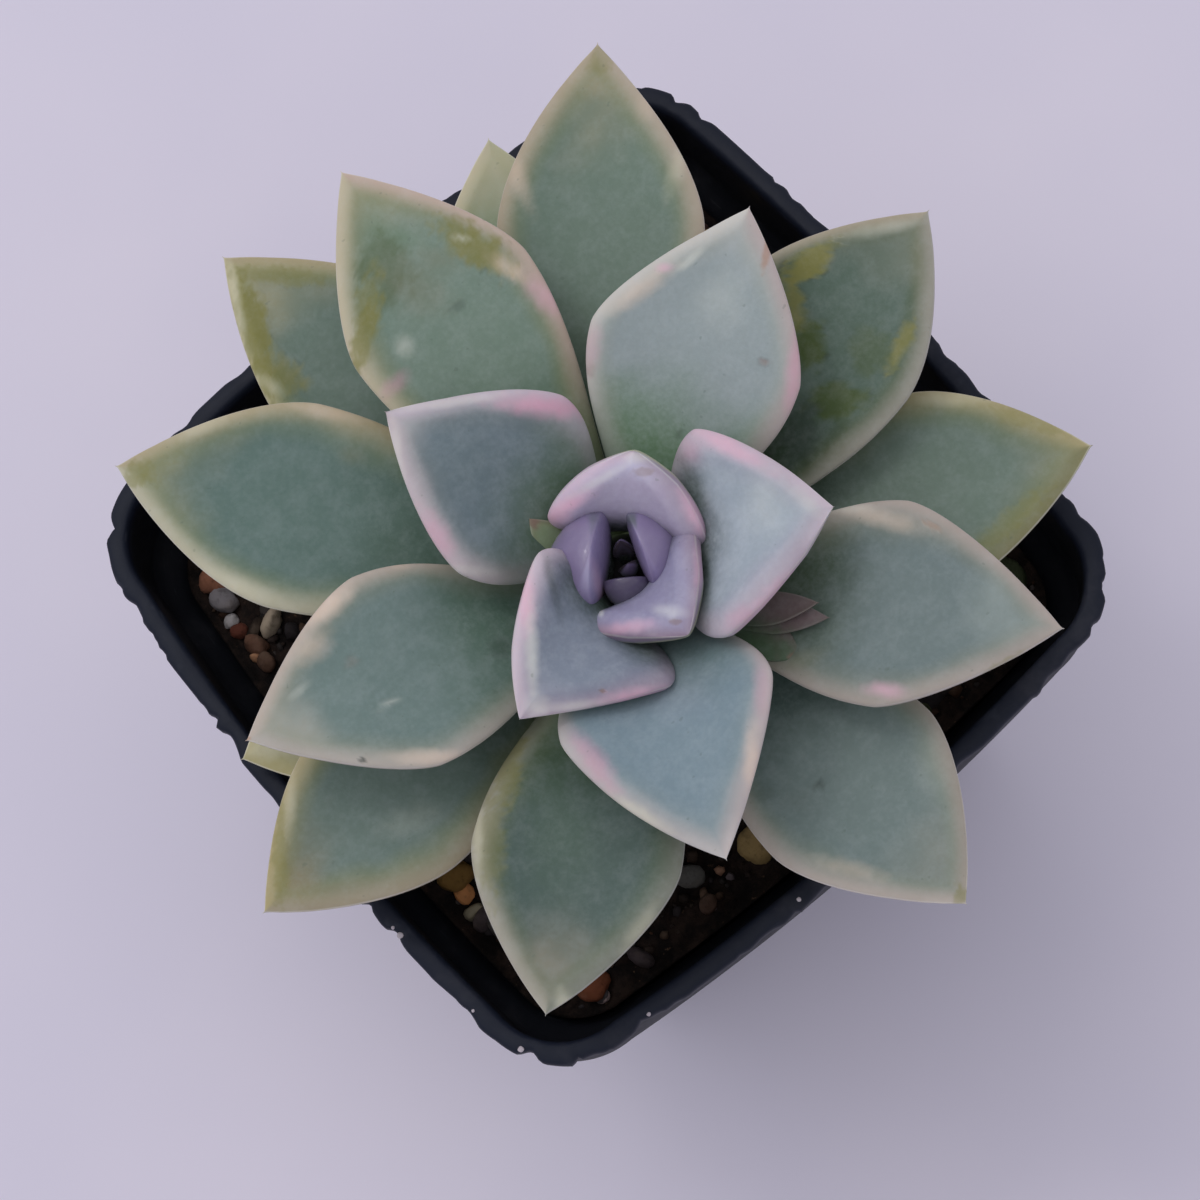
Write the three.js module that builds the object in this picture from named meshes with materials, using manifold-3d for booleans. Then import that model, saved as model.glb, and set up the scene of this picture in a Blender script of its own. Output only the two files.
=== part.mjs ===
// A succulent rosette of thick grey-green leaves in a square black nursery pot.
// Millimetres, +Z up. The origin is the middle of the pot's underside, the pot's sides lie along X and Y.
import * as THREE from 'three';
import Module from 'manifold-3d';
import { mergeVertices } from 'three/addons/utils/BufferGeometryUtils.js';

const wasm = await Module();
wasm.setup();

// Driving dimensions of the pot.
const potHeight = 62;
const rimHalf = 35; // half the width over the lip at the middle of a side
const rimBow = 1.3; // how far a side bows out between its corners
const rimCorner = 9.4;
const baseHalf = 25;
const baseCorner = 7;
const wall = 1;
const floorThickness = 1.6;
const footChamfer = 0.7;
const lipWidth = 0.8;
const lipDepth = 1.6;
const lipEdge = 0.35; // bevel round the lip's top
const collarDepth = 10;
const collarStep = 0.7;
const holeCount = 8; // drain holes, alternately at the middle of a side and near a corner
const holeRadius = 3.2;
const sideHoleSpread = 15;
const cornerHoleSpread = 19.5;

// Driving dimensions of the soil and the stem.
const clearance = 0.3; // gap between pieces that touch
const soilDrop = 10; // soil surface below the rim
const soilRelief = 0.5;
const soilHalf = 29.5; // half width of the surface where its corners start
const soilCorner = 6.5;
const grainCount = 64;
const grainSize = 1; // the smallest radius, the largest is two and a half times that
const stemX = 0.4;
const stemY = -5.8;
const stemRadius = 4;
const stemFootDepth = 14; // buried length
const stemShoulder = 8.8; // height above the rim where the stem starts to taper
const stemTop = 11.2; // above the rim
const plantTurn = -40; // turn of the rosette against the pot's sides, degrees

// Driving dimensions shared by the leaves.
const topLeafHeight = 11.5; // height of the youngest leaf's foot above the rim
const leafPitch = 0.6; // drop from one leaf's foot to the next older one's
const leafGap = 0.45; // margin by which an older leaf is cut clear of a younger one
const leafRings = 10;
const leafSides = 12;
const tipHalfWidth = 0.3;
const tipThickness = 0.6;

// Each leaf: turn about the stem (degrees), reach of the tip from the stem's axis, height of the tip above
// the rim, half width, thickness, arch (degrees), then foot radius and height, cup, sideways bend, the
// foot's own turn (skew), roll about the midrib and the shape of the blade.
const leaves = [
  { turn: -56, reach: 8.5, tip: 18.4, half: 5.3, thick: 4, arch: 26, foot: 3, height: 11, cup: 0.3,
    blunt: 1 },
  { turn: 80, reach: 7.8, tip: 19.6, half: 7, arch: 22, foot: 4, cup: 0.4, widest: 0.6, blunt: 1 },
  { turn: -124, skew: 24, roll: -15, reach: 16.4, tip: 19.5, half: 7.1, thick: 4.4, arch: 30, cup: 0.44,
    blunt: 0.6 },
  { turn: 8, reach: 17.5, tip: 20, half: 8.4, arch: 28, cup: 0.36, widest: 0.58, blunt: 0.4 },
  { turn: 148, reach: 22.5, tip: 19.5, half: 8.4, arch: 24, cup: 0.34, widest: 0.58, bend: -4, point: 1.6 },
  { turn: -72, reach: 27, tip: 19, half: 8.1, arch: 20, cup: 0.3, widest: 0.58, bend: 12, point: 1.5 },
  { turn: 69, reach: 30.5, tip: 19, half: 9.1, arch: 16, cup: 0.3, widest: 0.56, point: 1.4 },
  { turn: -154, reach: 34, tip: 17, half: 8.8, arch: 10, widest: 0.58, point: 1.45 },
  { turn: -11, reach: 36, tip: 15, half: 8.6, arch: 8, widest: 0.58, point: 1.45 },
  { turn: 125, reach: 41.5, tip: 17, half: 8.7, arch: 6, point: 1.5 },
  { turn: -100, reach: 37.5, tip: 13, half: 8.7, arch: 3, point: 1.6 },
  { turn: 49, reach: 39, tip: 14, half: 8.8, thick: 4.5, arch: -2 },
  { turn: 167, reach: 45, tip: 12, half: 9.2, thick: 4.5, arch: -2 },
  { turn: -46, reach: 39, tip: 9, half: 8.8, thick: 4.5, bend: -6, point: 1.6 },
  { turn: 93, reach: 47, tip: 12, half: 9, thick: 4.5, bend: -10 },
  { turn: -138, reach: 41.5, tip: 8, half: 8.3, thick: 4.4, bend: 5 },
  { turn: 15, reach: 40, tip: 8, half: 8.6, thick: 4.4, arch: -2, bend: -6 },
  { turn: 140, reach: 47.5, tip: 7, half: 8.6, thick: 4, arch: -5 },
  { turn: -158, reach: 37, tip: 3, half: 8, thick: 2.6, arch: -9, height: -1.5, bend: 8 },
  { turn: 106, reach: 44, tip: 4, half: 7.4, thick: 2.8, arch: -6, height: -0.8, bend: -14 },
];
const leafDefaults = {
  thick: 4.6, arch: 0, foot: 4.2, cup: 0.25, bend: 0, skew: 0, roll: 0,
  widest: 0.62, point: 1.7, footWidth: 0.3, blunt: 0, crown: 0.25, keel: 0.15,
};
const budLeaves = [
  { turn: 172, skew: 20, reach: 2.7, tip: 18.4, half: 3.9, thick: 4.4, arch: -8, foot: 1.9, height: 11.5 },
  { turn: 20, reach: 2.3, tip: 17.8, half: 3, thick: 2.8, arch: -6, foot: 1.7, height: 11.6 },
  { turn: -97, reach: 2.6, tip: 16.4, half: 1.5, thick: 2.4, arch: -6, foot: 2.2, height: 11.4 },
];
const budDefaults = {
  ...leafDefaults, cup: 0.04, widest: 0.6, point: 2.6, footWidth: 0.5, blunt: 1, crown: 0.2,
};

// The small shoots: each is a fused bunch of leaflets.
const shootDefaults = { ...leafDefaults, cup: 0.15, widest: 0.5, footWidth: 0.6, keel: 0.1 };
const budHeart = [
  { turn: 95, reach: 1.1, tip: 16.4, half: 0.9, thick: 1, foot: 0.5, height: 11.5 },
  { turn: -60, reach: 0.8, tip: 15.8, half: 0.9, thick: 1, foot: 0.3, height: 11.5 },
];
const rightShoot = [
  { turn: -27, reach: 11, tip: 11.6, half: 1.5, thick: 2.4, foot: 4.4, height: 7.4, footWidth: 1 },
  { turn: -7, skew: -20, reach: 17.7, tip: 13.6, half: 1.5, thick: 1.3, foot: 9, height: 10.6 },
  { turn: 2, skew: -29, reach: 16.8, tip: 14.6, half: 1.4, thick: 1.2, foot: 9, height: 10.8 },
  { turn: -33, skew: 6, reach: 16.6, tip: 12.2, half: 1.9, thick: 1.8, foot: 9, height: 10.4 },
];
const leftShoot = [
  { turn: 137, skew: 40, reach: 8.9, tip: 15.6, half: 1.7, thick: 1.4, foot: 4.3, height: 10.6 },
  { turn: 127, skew: 40, reach: 9.4, tip: 15.4, half: 1.2, thick: 1.2, foot: 4.3, height: 10.8 },
];

// Colours from the youngest piece to the oldest.
const budColor = new THREE.Color(0x6f6478);
const youngColor = new THREE.Color(0x98a0ac);
const oldColor = new THREE.Color(0x66786e);
const shootColor = new THREE.Color(0x5c5a4c);

const soilTop = potHeight - soilDrop;
const middleZ = soilTop / 2; // ring that keeps the soil's side parallel to the wall
const radians = THREE.MathUtils.degToRad;
const up = new THREE.Vector3(0, 0, 1);

// Closed skin through rings of equal length, with a fan over each open end.
function skin(rings) {
  const count = rings[0].length;
  const faces = [];
  for (let i = 0; i + 1 < rings.length; i++) {
    for (let j = 0; j < count; j++) {
      const a = i * count + j;
      const b = i * count + (j + 1) % count;
      faces.push(a, b, b + count, a, b + count, a + count);
    }
  }
  const last = (rings.length - 1) * count;
  for (let j = 1; j + 1 < count; j++) {
    faces.push(0, j + 1, j, last, last + j, last + j + 1);
  }
  const geometry = new THREE.BufferGeometry().setFromPoints(rings.flat());
  geometry.setIndex(faces);
  return geometry;
}

function toSolid(geometry) {
  const plain = geometry.clone();
  plain.deleteAttribute('normal');
  plain.deleteAttribute('uv');
  const merged = mergeVertices(plain, 1e-4);
  return new wasm.Manifold(new wasm.Mesh({
    numProp: 3,
    vertProperties: new Float32Array(merged.attributes.position.array),
    triVerts: new Uint32Array(merged.index.array),
  }));
}

function toGeometry(solid) {
  const mesh = solid.getMesh();
  const geometry = new THREE.BufferGeometry();
  geometry.setAttribute('position', new THREE.BufferAttribute(new Float32Array(mesh.vertProperties), 3));
  geometry.setIndex(new THREE.BufferAttribute(new Uint32Array(mesh.triVerts), 1));
  geometry.computeVertexNormals();
  return geometry;
}

function largestBody(solid) {
  return solid.decompose().reduce((best, body) => (body.volume() > best.volume() ? body : best));
}

function addPiece(group, name, solid, look) {
  const piece = new THREE.Mesh(toGeometry(solid), new THREE.MeshStandardMaterial({ metalness: 0, ...look }));
  piece.name = name;
  group.add(piece);
}

// Square outline with round corners whose sides bow out in the middle.
function potOutline(half, corner, bow, z) {
  const points = [];
  const flat = half - bow - corner;
  const cornerSteps = 5;
  const sideSteps = 6;
  for (let side = 0; side < 4; side++) {
    const turn = side * Math.PI / 2;
    const add = (x, y) => points.push(new THREE.Vector3(x, y, z).applyAxisAngle(up, turn));
    for (let i = 0; i < sideSteps; i++) {
      const t = 2 * i / sideSteps - 1;
      add(half - bow + bow * (1 - t * t), flat * t);
    }
    for (let i = 0; i < cornerSteps; i++) {
      const angle = Math.PI / 2 * i / cornerSteps;
      add(flat + corner * Math.cos(angle), flat + corner * Math.sin(angle));
    }
  }
  return points;
}

// Outline of the tapering body at a height, shifted inwards by a margin.
function bodyOutline(z, inset) {
  const t = z / potHeight;
  const half = THREE.MathUtils.lerp(baseHalf, rimHalf - lipWidth - collarStep, t) - inset;
  const corner = THREE.MathUtils.lerp(baseCorner, rimCorner - lipWidth, t) - inset;
  return potOutline(half, corner, rimBow * t, z);
}

// The pot is one wall lofted up its outside, over the lip and down its inside, with holes in its floor.
function buildPot() {
  const collarZ = potHeight - collarDepth;
  const lipZ = potHeight - lipDepth;
  const rimAt = (z, inset) => potOutline(rimHalf - inset, rimCorner - inset, rimBow, z);
  const inner = lipWidth + wall;
  const outside = [
    bodyOutline(0, footChamfer),
    bodyOutline(footChamfer, 0),
    bodyOutline(collarZ - 1, 0),
    rimAt(collarZ, lipWidth),
    rimAt(lipZ - 0.5, lipWidth),
    rimAt(lipZ, 0),
    rimAt(potHeight - lipEdge, 0),
    rimAt(potHeight, lipEdge),
  ];
  const inside = [
    rimAt(potHeight, inner - lipEdge),
    rimAt(potHeight - 1, inner),
    rimAt(collarZ + 0.6, inner),
    bodyOutline(collarZ - 2, wall),
    bodyOutline(middleZ, wall),
    bodyOutline(floorThickness, wall),
  ];
  let pot = toSolid(skin([...outside, ...inside]));
  for (let i = 0; i < holeCount; i++) {
    const angle = 2 * Math.PI * i / holeCount;
    const spread = i % 2 ? cornerHoleSpread : sideHoleSpread;
    const hole = new THREE.CylinderGeometry(holeRadius, holeRadius, 4 * floorThickness, 16);
    hole.rotateX(Math.PI / 2);
    hole.translate(spread * Math.cos(angle), spread * Math.sin(angle), floorThickness / 2);
    pot = pot.subtract(toSolid(hole));
  }
  return pot;
}

// Repeatable random numbers from 0 to 1.
function seeded(seed) {
  let state = seed;
  return () => {
    state = (state * 16807) % 2147483647;
    return state / 2147483647;
  };
}

const surfaceZ = (x, y) => soilTop
  + soilRelief * (Math.sin(0.31 * x + 1.2) * Math.cos(0.27 * y) + 0.6 * Math.sin(0.55 * y + 0.4 * x));

// A crumb or stone half sunk in the surface.
function grainSolid(x, y, size, turn) {
  const grain = new THREE.IcosahedronGeometry(size, 0);
  grain.scale(1.25, 0.9, 0.75);
  grain.rotateX(turn);
  grain.rotateZ(2.3 * turn);
  grain.translate(x, y, surfaceZ(x, y) + 0.15 * size);
  return toSolid(grain);
}

// The soil fills the pot; its uneven surface carries fused grains and has a plain hole for the stem.
function buildSoil() {
  const inset = wall + clearance;
  const rings = [floorThickness + clearance, middleZ, soilTop - 4].map((z) => bodyOutline(z, inset));
  for (const shrink of [1, 0.88, 0.76, 0.62, 0.46, 0.28, 0.12]) {
    rings.push(bodyOutline(soilTop, inset).map(({ x, y }) => new THREE.Vector3(
      x * shrink, y * shrink, surfaceZ(x * shrink, y * shrink))));
  }
  let soil = toSolid(skin(rings));
  const random = seeded(11);
  for (let i = 0; i < grainCount; i++) {
    const size = grainSize * (1 + 1.5 * random() ** 2);
    const room = soilHalf - 1.4 * size;
    const x = room * (2 * random() - 1);
    const y = room * (2 * random() - 1);
    const turn = 2 * Math.PI * random();
    const straight = soilHalf - soilCorner; // beyond this the corner rounds off
    const intoCorner = Math.hypot(Math.max(0, Math.abs(x) - straight), Math.max(0, Math.abs(y) - straight));
    if (Math.hypot(x - stemX, y - stemY) > stemRadius + 5 && intoCorner < soilCorner - 1.4 * size) {
      soil = soil.add(grainSolid(x, y, size, turn));
    }
  }
  const holeDepth = stemFootDepth + clearance;
  const hole = new THREE.CylinderGeometry(stemRadius + clearance, stemRadius + clearance, 2 * holeDepth, 24);
  hole.rotateX(Math.PI / 2);
  hole.translate(stemX, stemY, soilTop);
  return largestBody(soil.subtract(toSolid(hole)));
}

// Stem turned about its own axis: a rounded foot, a straight trunk and a tapering top.
function stemSolid(grow = 0) {
  const foot = -soilDrop - stemFootDepth;
  const profile = [
    [0, foot - grow],
    [stemRadius - 1, foot - grow],
    [stemRadius + grow, foot + 1.5],
    [stemRadius + grow, stemShoulder],
    [0.88 * stemRadius + grow, stemShoulder + 1],
    [0.65 * stemRadius + grow, stemShoulder + 1.8],
    [0.3 * stemRadius + grow, stemTop - 0.2 + grow],
    [0, stemTop + grow],
  ].map(([radius, z]) => new THREE.Vector2(radius, z));
  const geometry = new THREE.LatheGeometry(profile, 20);
  geometry.rotateX(Math.PI / 2);
  return toSolid(geometry);
}

// Half width, thickness and cup of a blade at u, from 0 at its foot to 1 at its tip.
function leafSection(leaf, u) {
  const past = Math.max(0, (u - leaf.widest) / (1 - leaf.widest));
  const swell = Math.sin(Math.PI / 2 * Math.min(1, u / leaf.widest)) ** 1.5;
  const plan = u < leaf.widest ? leaf.footWidth + (1 - leaf.footWidth) * swell : 1 - past ** leaf.point;
  const round = Math.sqrt(1 - u ** (22 - 12 * leaf.blunt));
  const belly = 0.55 + 0.45 * Math.sin(Math.PI * Math.min(u / 0.9, 1));
  return {
    half: Math.max(leaf.half * (plan + 0.22 * leaf.blunt * past) * round, tipHalfWidth),
    thick: Math.max(leaf.thick * belly * Math.sqrt(1 - u ** (5 + 3 * leaf.blunt)), tipThickness),
    cup: leaf.cup * (0.35 + 0.65 * Math.sin(Math.PI / 2 * Math.min(u / 0.6, 1))),
  };
}

// Leaf blade: its midrib leaves the foot and reaches the tip on an arc; the section is a cupped lens with a
// keel beneath, narrow at the foot, widest past the middle, pointed or blunt at the tip. A grown leaf
// stands out by a margin all round.
function leafSolid(leaf, grow = 0) {
  const steps = 60;
  const climb = leaf.tip - leaf.height;
  const rise = Math.atan2(climb, leaf.reach - leaf.foot);
  const arch = radians(leaf.arch);
  const length = Math.hypot(climb, leaf.reach - leaf.foot) * (arch ? arch / Math.sin(arch) : 1);
  const heading = (u) => {
    const tilt = rise + arch * (1 - 2 * u);
    const turn = radians(leaf.turn + leaf.bend * (u - 0.5));
    return new THREE.Vector3(Math.cos(tilt), 0, Math.sin(tilt)).applyAxisAngle(up, turn);
  };
  const footTurn = radians(leaf.turn + leaf.skew);
  const spine = [new THREE.Vector3(leaf.foot, 0, leaf.height).applyAxisAngle(up, footTurn)];
  for (let k = 0; k < steps; k++) {
    spine.push(spine[k].clone().addScaledVector(heading((k + 0.5) / steps), length / steps));
  }
  const rings = [];
  for (let i = 0; i <= leafRings; i++) {
    const u = 0.55 * Math.sin(Math.PI / 2 * i / leafRings) + 0.45 * i / leafRings; // closer rings at the tip
    const { half, thick, cup } = leafSection(leaf, u);
    const endwise = (i === leafRings ? grow : 0) - (i === 0 ? grow : 0);
    const middle = spine[Math.round(u * steps)].clone().addScaledVector(heading(u), endwise);
    const across = up.clone().cross(heading(u)).normalize().applyAxisAngle(heading(u), radians(leaf.roll));
    const outward = heading(u).cross(across);
    const ring = [];
    for (let j = 0; j < leafSides; j++) {
      const c = Math.cos(2 * Math.PI * j / leafSides);
      const s = Math.sin(2 * Math.PI * j / leafSides);
      const under = (-s) ** 0.85 + leaf.keel * (1 - Math.abs(c)) ** 1.5;
      const lens = s > 0 ? leaf.crown * s ** 0.9 : (leaf.crown - 1) * under;
      const lift = cup * half * c * c + thick * lens + grow * Math.sign(s) * Math.abs(s) ** 0.85;
      ring.push(middle.clone().addScaledVector(across, (half + grow) * c).addScaledVector(outward, lift));
    }
    rings.push(ring);
  }
  return toSolid(skin(rings));
}

// A bunch of leaflets that grow out of one another, fused into one solid.
function shootSolid(leaflets) {
  const solids = leaflets.map((leaflet) => leafSolid({ ...shootDefaults, ...leaflet }));
  return solids.reduce((shoot, leaflet) => shoot.add(leaflet));
}

// The part of a solid that stays clear of its neighbours.
function clearOf(solid, neighbours) {
  return largestBody(neighbours.reduce((body, neighbour) => body.subtract(neighbour), solid));
}

// The plant is built from the youngest piece to the oldest; an older piece makes room for a younger one.
function buildPlant() {
  const plant = new THREE.Group();
  plant.position.set(stemX, stemY, potHeight);
  plant.rotation.z = radians(plantTurn);
  addPiece(plant, 'stem', stemSolid(), { color: 0x5b6350, roughness: 0.8 });

  const taken = [stemSolid(clearance)];
  budLeaves.forEach((entry, i) => {
    const leaf = { ...budDefaults, ...entry };
    const look = { color: budColor, roughness: 0.35 };
    addPiece(plant, `bud_leaf_${i + 1}`, clearOf(leafSolid(leaf), taken), look);
    taken.push(leafSolid(leaf, leafGap));
  });
  addPiece(plant, 'bud_heart', clearOf(shootSolid(budHeart), taken), { color: 0x3a3034, roughness: 0.6 });

  leaves.forEach((entry, i) => {
    const age = i / (leaves.length - 1);
    const leaf = { ...leafDefaults, height: topLeafHeight - leafPitch * i, ...entry };
    const color = youngColor.clone().lerp(oldColor, Math.sqrt(age));
    const name = `leaf_${String(i + 1).padStart(2, '0')}`;
    addPiece(plant, name, clearOf(leafSolid(leaf), taken), { color, roughness: 0.6 });
    taken.push(leafSolid(leaf, leafGap));
  });
  const shootLook = { color: shootColor, roughness: 0.7 };
  addPiece(plant, 'side_shoot_right', clearOf(shootSolid(rightShoot), taken), shootLook);
  addPiece(plant, 'side_shoot_left', clearOf(shootSolid(leftShoot), taken), shootLook);
  return plant;
}

const model = new THREE.Group();
addPiece(model, 'pot', buildPot(), { color: 0x2b2f3a, roughness: 0.5 });
addPiece(model, 'soil', buildSoil(), { color: 0x241c18, roughness: 1 });
model.add(buildPlant());

export default model;
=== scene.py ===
# A succulent rosette of thick grey-green leaves in a square black nursery pot, dressed for rendering.
# The scene is in metres, +Z up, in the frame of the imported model. Lengths in dictionaries are millimetres.
import math

import bpy
import numpy as np
from mathutils import Matrix, Vector


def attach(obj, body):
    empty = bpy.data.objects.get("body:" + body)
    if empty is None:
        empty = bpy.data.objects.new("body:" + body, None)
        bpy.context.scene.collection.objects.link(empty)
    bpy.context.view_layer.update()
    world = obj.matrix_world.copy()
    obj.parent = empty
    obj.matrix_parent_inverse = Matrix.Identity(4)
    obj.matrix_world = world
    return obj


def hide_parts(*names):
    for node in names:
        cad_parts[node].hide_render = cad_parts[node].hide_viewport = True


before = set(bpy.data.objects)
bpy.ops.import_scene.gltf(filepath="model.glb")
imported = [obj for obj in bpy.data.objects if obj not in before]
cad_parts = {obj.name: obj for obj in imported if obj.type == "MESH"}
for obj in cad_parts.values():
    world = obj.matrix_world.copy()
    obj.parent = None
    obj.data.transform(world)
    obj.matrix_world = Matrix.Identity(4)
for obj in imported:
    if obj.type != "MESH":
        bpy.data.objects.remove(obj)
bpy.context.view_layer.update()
scene = bpy.context.scene
mm = 0.001

# The photograph's camera: it looks down on the rim, its frame is 1200 pixels square.
view = {
    "target": (-2.2951, -3.362, 62), "distance": 250, "tilt": 15, "bearing": -104.7, "upBearing": 50,
    "lens": 86.22, "sensor": 36, "frame": 1200,
}


def bearingVector(degrees):
    return np.array([math.cos(math.radians(degrees)), math.sin(math.radians(degrees)), 0])


# Unit vectors of the camera: back points from the target to the lens, right and up span the picture.
def cameraAxes():
    tilt = math.radians(view["tilt"])
    back = math.sin(tilt) * bearingVector(view["bearing"]) + math.cos(tilt) * np.array([0, 0, 1])
    right = np.cross(bearingVector(view["upBearing"]), back)
    right /= np.linalg.norm(right)
    return right, np.cross(back, right), back


camRight, camUp, camBack = cameraAxes()
camSpot = np.array(view["target"]) + view["distance"] * camBack
pixelsPerSlope = view["lens"] / view["sensor"] * view["frame"]


# Photograph pixels of points: the offset from the lens along right and up, over the depth.
def toPixels(points):
    offset = points - camSpot
    depth = -(offset @ camBack)
    middle = view["frame"] / 2
    return (middle + pixelsPerSlope * (offset @ camRight) / depth,
            middle - pixelsPerSlope * (offset @ camUp) / depth)


# Point where the sight line of a pixel meets the level plane at height z.
def fromPixel(x, y, z):
    middle = view["frame"] / 2
    sight = (x - middle) / pixelsPerSlope * camRight + (middle - y) / pixelsPerSlope * camUp - camBack
    return camSpot + sight * ((z - camSpot[2]) / sight[2])


# Whole-array value noise from -1 to 1: random values on a unit lattice, smoothly blended.
def softNoise(x, y, z, seed=0):
    x, y, z = np.broadcast_arrays(np.asarray(x, float), y, z)
    cells = [np.floor(v).astype(np.int64) for v in (x, y, z)]
    parts = [v - c for v, c in zip((x, y, z), cells)]
    parts = [p * p * (3 - 2 * p) for p in parts]
    total = np.zeros(x.shape)
    for corner in range(8):
        bits = [corner & 1, corner >> 1 & 1, corner >> 2]
        key = sum((c + b) * m for c, b, m in zip(cells, bits, (374761393, 668265263, 2246822519)))
        key = (key + seed * 3266489917) & 0xffffffff
        key = ((key ^ key >> 15) * 2246822519) & 0xffffffff
        key = ((key ^ key >> 13) * 3266489917) & 0xffffffff
        weight = np.ones(x.shape)
        for part, bit in zip(parts, bits):
            weight = weight * (part if bit else 1 - part)
        total += weight * (key ^ key >> 16) / 0xffffffff
    return 2 * total - 1


def smoothStep(value, low, high):
    t = np.clip((value - low) / (high - low), 0, 1)
    return t * t * (3 - 2 * t)


# Faces of a closed tube of rings: quads between rings, fans to a pole point before and after them.
def tubeFaces(rows, columns):
    i, j = np.meshgrid(np.arange(rows - 1), np.arange(columns), indexing="ij")
    here, beside = 1 + i * columns + j, 1 + i * columns + (j + 1) % columns
    quads = np.stack([here, beside, beside + columns, here + columns], -1).reshape(-1, 4)
    j = np.arange(columns)
    nextJ = (j + 1) % columns
    last, end = 1 + (rows - 1) * columns, 1 + rows * columns
    fans = np.concatenate([np.stack([0 * j, 1 + nextJ, 1 + j], -1),
                           np.stack([0 * j + end, last + j, last + nextJ], -1)])
    return [quads, fans]


# Points of a tube in the order that tubeFaces expects.
def tubePoints(first, rings, last):
    return np.concatenate([np.reshape(first, (1, 3)), rings.reshape(-1, 3), np.reshape(last, (1, 3))])


# Several shapes as one: points, faces and fields one after another.
def joinShapes(shapes):
    starts = np.cumsum([0] + [len(s["points"]) for s in shapes[:-1]])
    faces = [face + start for s, start in zip(shapes, starts) for face in s["faces"]]
    fields = {key: np.concatenate([s["fields"][key] for s in shapes]) for key in shapes[0]["fields"]}
    return {"points": np.concatenate([s["points"] for s in shapes]), "faces": faces, "fields": fields}


# A mesh piece from a shape; each field becomes an attribute of its points.
def makePiece(name, shape, material):
    mesh = bpy.data.meshes.new(name)
    sizes = np.concatenate([np.full(len(face), face.shape[1]) for face in shape["faces"]])
    corners = np.concatenate([face.ravel() for face in shape["faces"]])
    mesh.vertices.add(len(shape["points"]))
    mesh.vertices.foreach_set("co", (shape["points"] * mm).astype(np.float32).ravel())
    mesh.loops.add(len(corners))
    mesh.loops.foreach_set("vertex_index", corners.astype(np.int32))
    mesh.polygons.add(len(sizes))
    mesh.polygons.foreach_set("loop_start", (np.cumsum(sizes) - sizes).astype(np.int32))
    mesh.polygons.foreach_set("use_smooth", np.ones(len(sizes), bool))
    mesh.update(calc_edges=True)
    mesh.validate()
    kinds = {1: ("FLOAT", "value"), 3: ("FLOAT_VECTOR", "vector"), 4: ("FLOAT_COLOR", "color")}
    for key, values in shape["fields"].items():
        kind, slotName = kinds[1 if values.ndim == 1 else values.shape[1]]
        data = mesh.attributes.new(key, kind, "POINT").data
        data.foreach_set(slotName, values.astype(np.float32).ravel())
    mesh.materials.append(material)
    piece = bpy.data.objects.new(name, mesh)
    scene.collection.objects.link(piece)
    return piece


def place(piece, node, slot):
    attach(piece, "root")
    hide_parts(node)


# Colours are given as the photograph shows them, 0 to 255; the light on a white sheet there is lightLevel.
lightLevel = 0.66


def tone(red, green, blue, level=lightLevel):
    linear = [(c / 255 / 12.92 if c < 11 else ((c / 255 + 0.055) / 1.055) ** 2.4) for c in (red, green, blue)]
    return tuple(min(0.95, c / level) for c in linear) + (1.0,)


# A wire holds one shader socket; arithmetic on wires adds Math nodes.
class Wire:
    def __init__(self, tree, socket=None):
        self.tree, self.socket = tree, socket

    # Any node: its type, its settings, then the values or wires of its inputs; gives the named output.
    def node(self, kind, settings, inputs, output=0):
        made = self.tree.nodes.new("ShaderNode" + kind)
        for key, value in settings.items():
            setattr(made, key, value)
        for key, value in inputs.items():
            if isinstance(value, Wire):
                self.tree.links.new(value.socket, made.inputs[key])
            else:
                made.inputs[key].default_value = value
        return Wire(self.tree, made.outputs[output])

    def math(self, operation, *values):
        return self.node("Math", {"operation": operation}, dict(enumerate(values)))

    def __add__(self, other):
        return self.math("ADD", self, other)

    def __sub__(self, other):
        return self.math("SUBTRACT", self, other)

    def __rsub__(self, other):
        return self.math("SUBTRACT", other, self)

    def __mul__(self, other):
        return self.math("MULTIPLY", self, other)

    __radd__ = __add__
    __rmul__ = __mul__

    # 0 below low, 1 above high, smooth between.
    def rise(self, low, high):
        inputs = {0: self, 1: low, 2: high}
        return self.node("MapRange", {"interpolation_type": "SMOOTHSTEP"}, inputs)

    # Colour mix: first where the mask is 0, second where it is 1.
    def mix(self, first, second):
        return self.node("Mix", {"data_type": "RGBA"}, {0: self, 6: first, 7: second}, 2)

    def noise(self, place, scale, detail=2.0, rough=0.5):
        inputs = {"Vector": place, "Scale": scale, "Detail": detail, "Roughness": rough}
        return self.node("TexNoise", {}, inputs)

    def attribute(self, name, output="Fac"):
        return self.node("Attribute", {"attribute_name": name}, {}, output)


# A bare material: gives it, a wire to start from and its Principled shader with the uniform values set.
def freshMaterial(name, uniform):
    material = bpy.data.materials.new(name)
    material.use_nodes = True
    tree = material.node_tree
    shader = tree.nodes["Principled BSDF"]
    for key, value in uniform.items():
        shader.inputs[key].default_value = value
    start = Wire(tree)
    spot = start.node("TexCoord", {}, {}, "Object")
    return material, start, shader, spot


def connect(start, shader, links):
    for key, wire in links.items():
        start.tree.links.new(wire.socket, shader.inputs[key])


def bump(start, height, strength, distance):
    return start.node("Bump", {}, {"Strength": strength, "Distance": distance, "Height": height}, "Normal")


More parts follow.
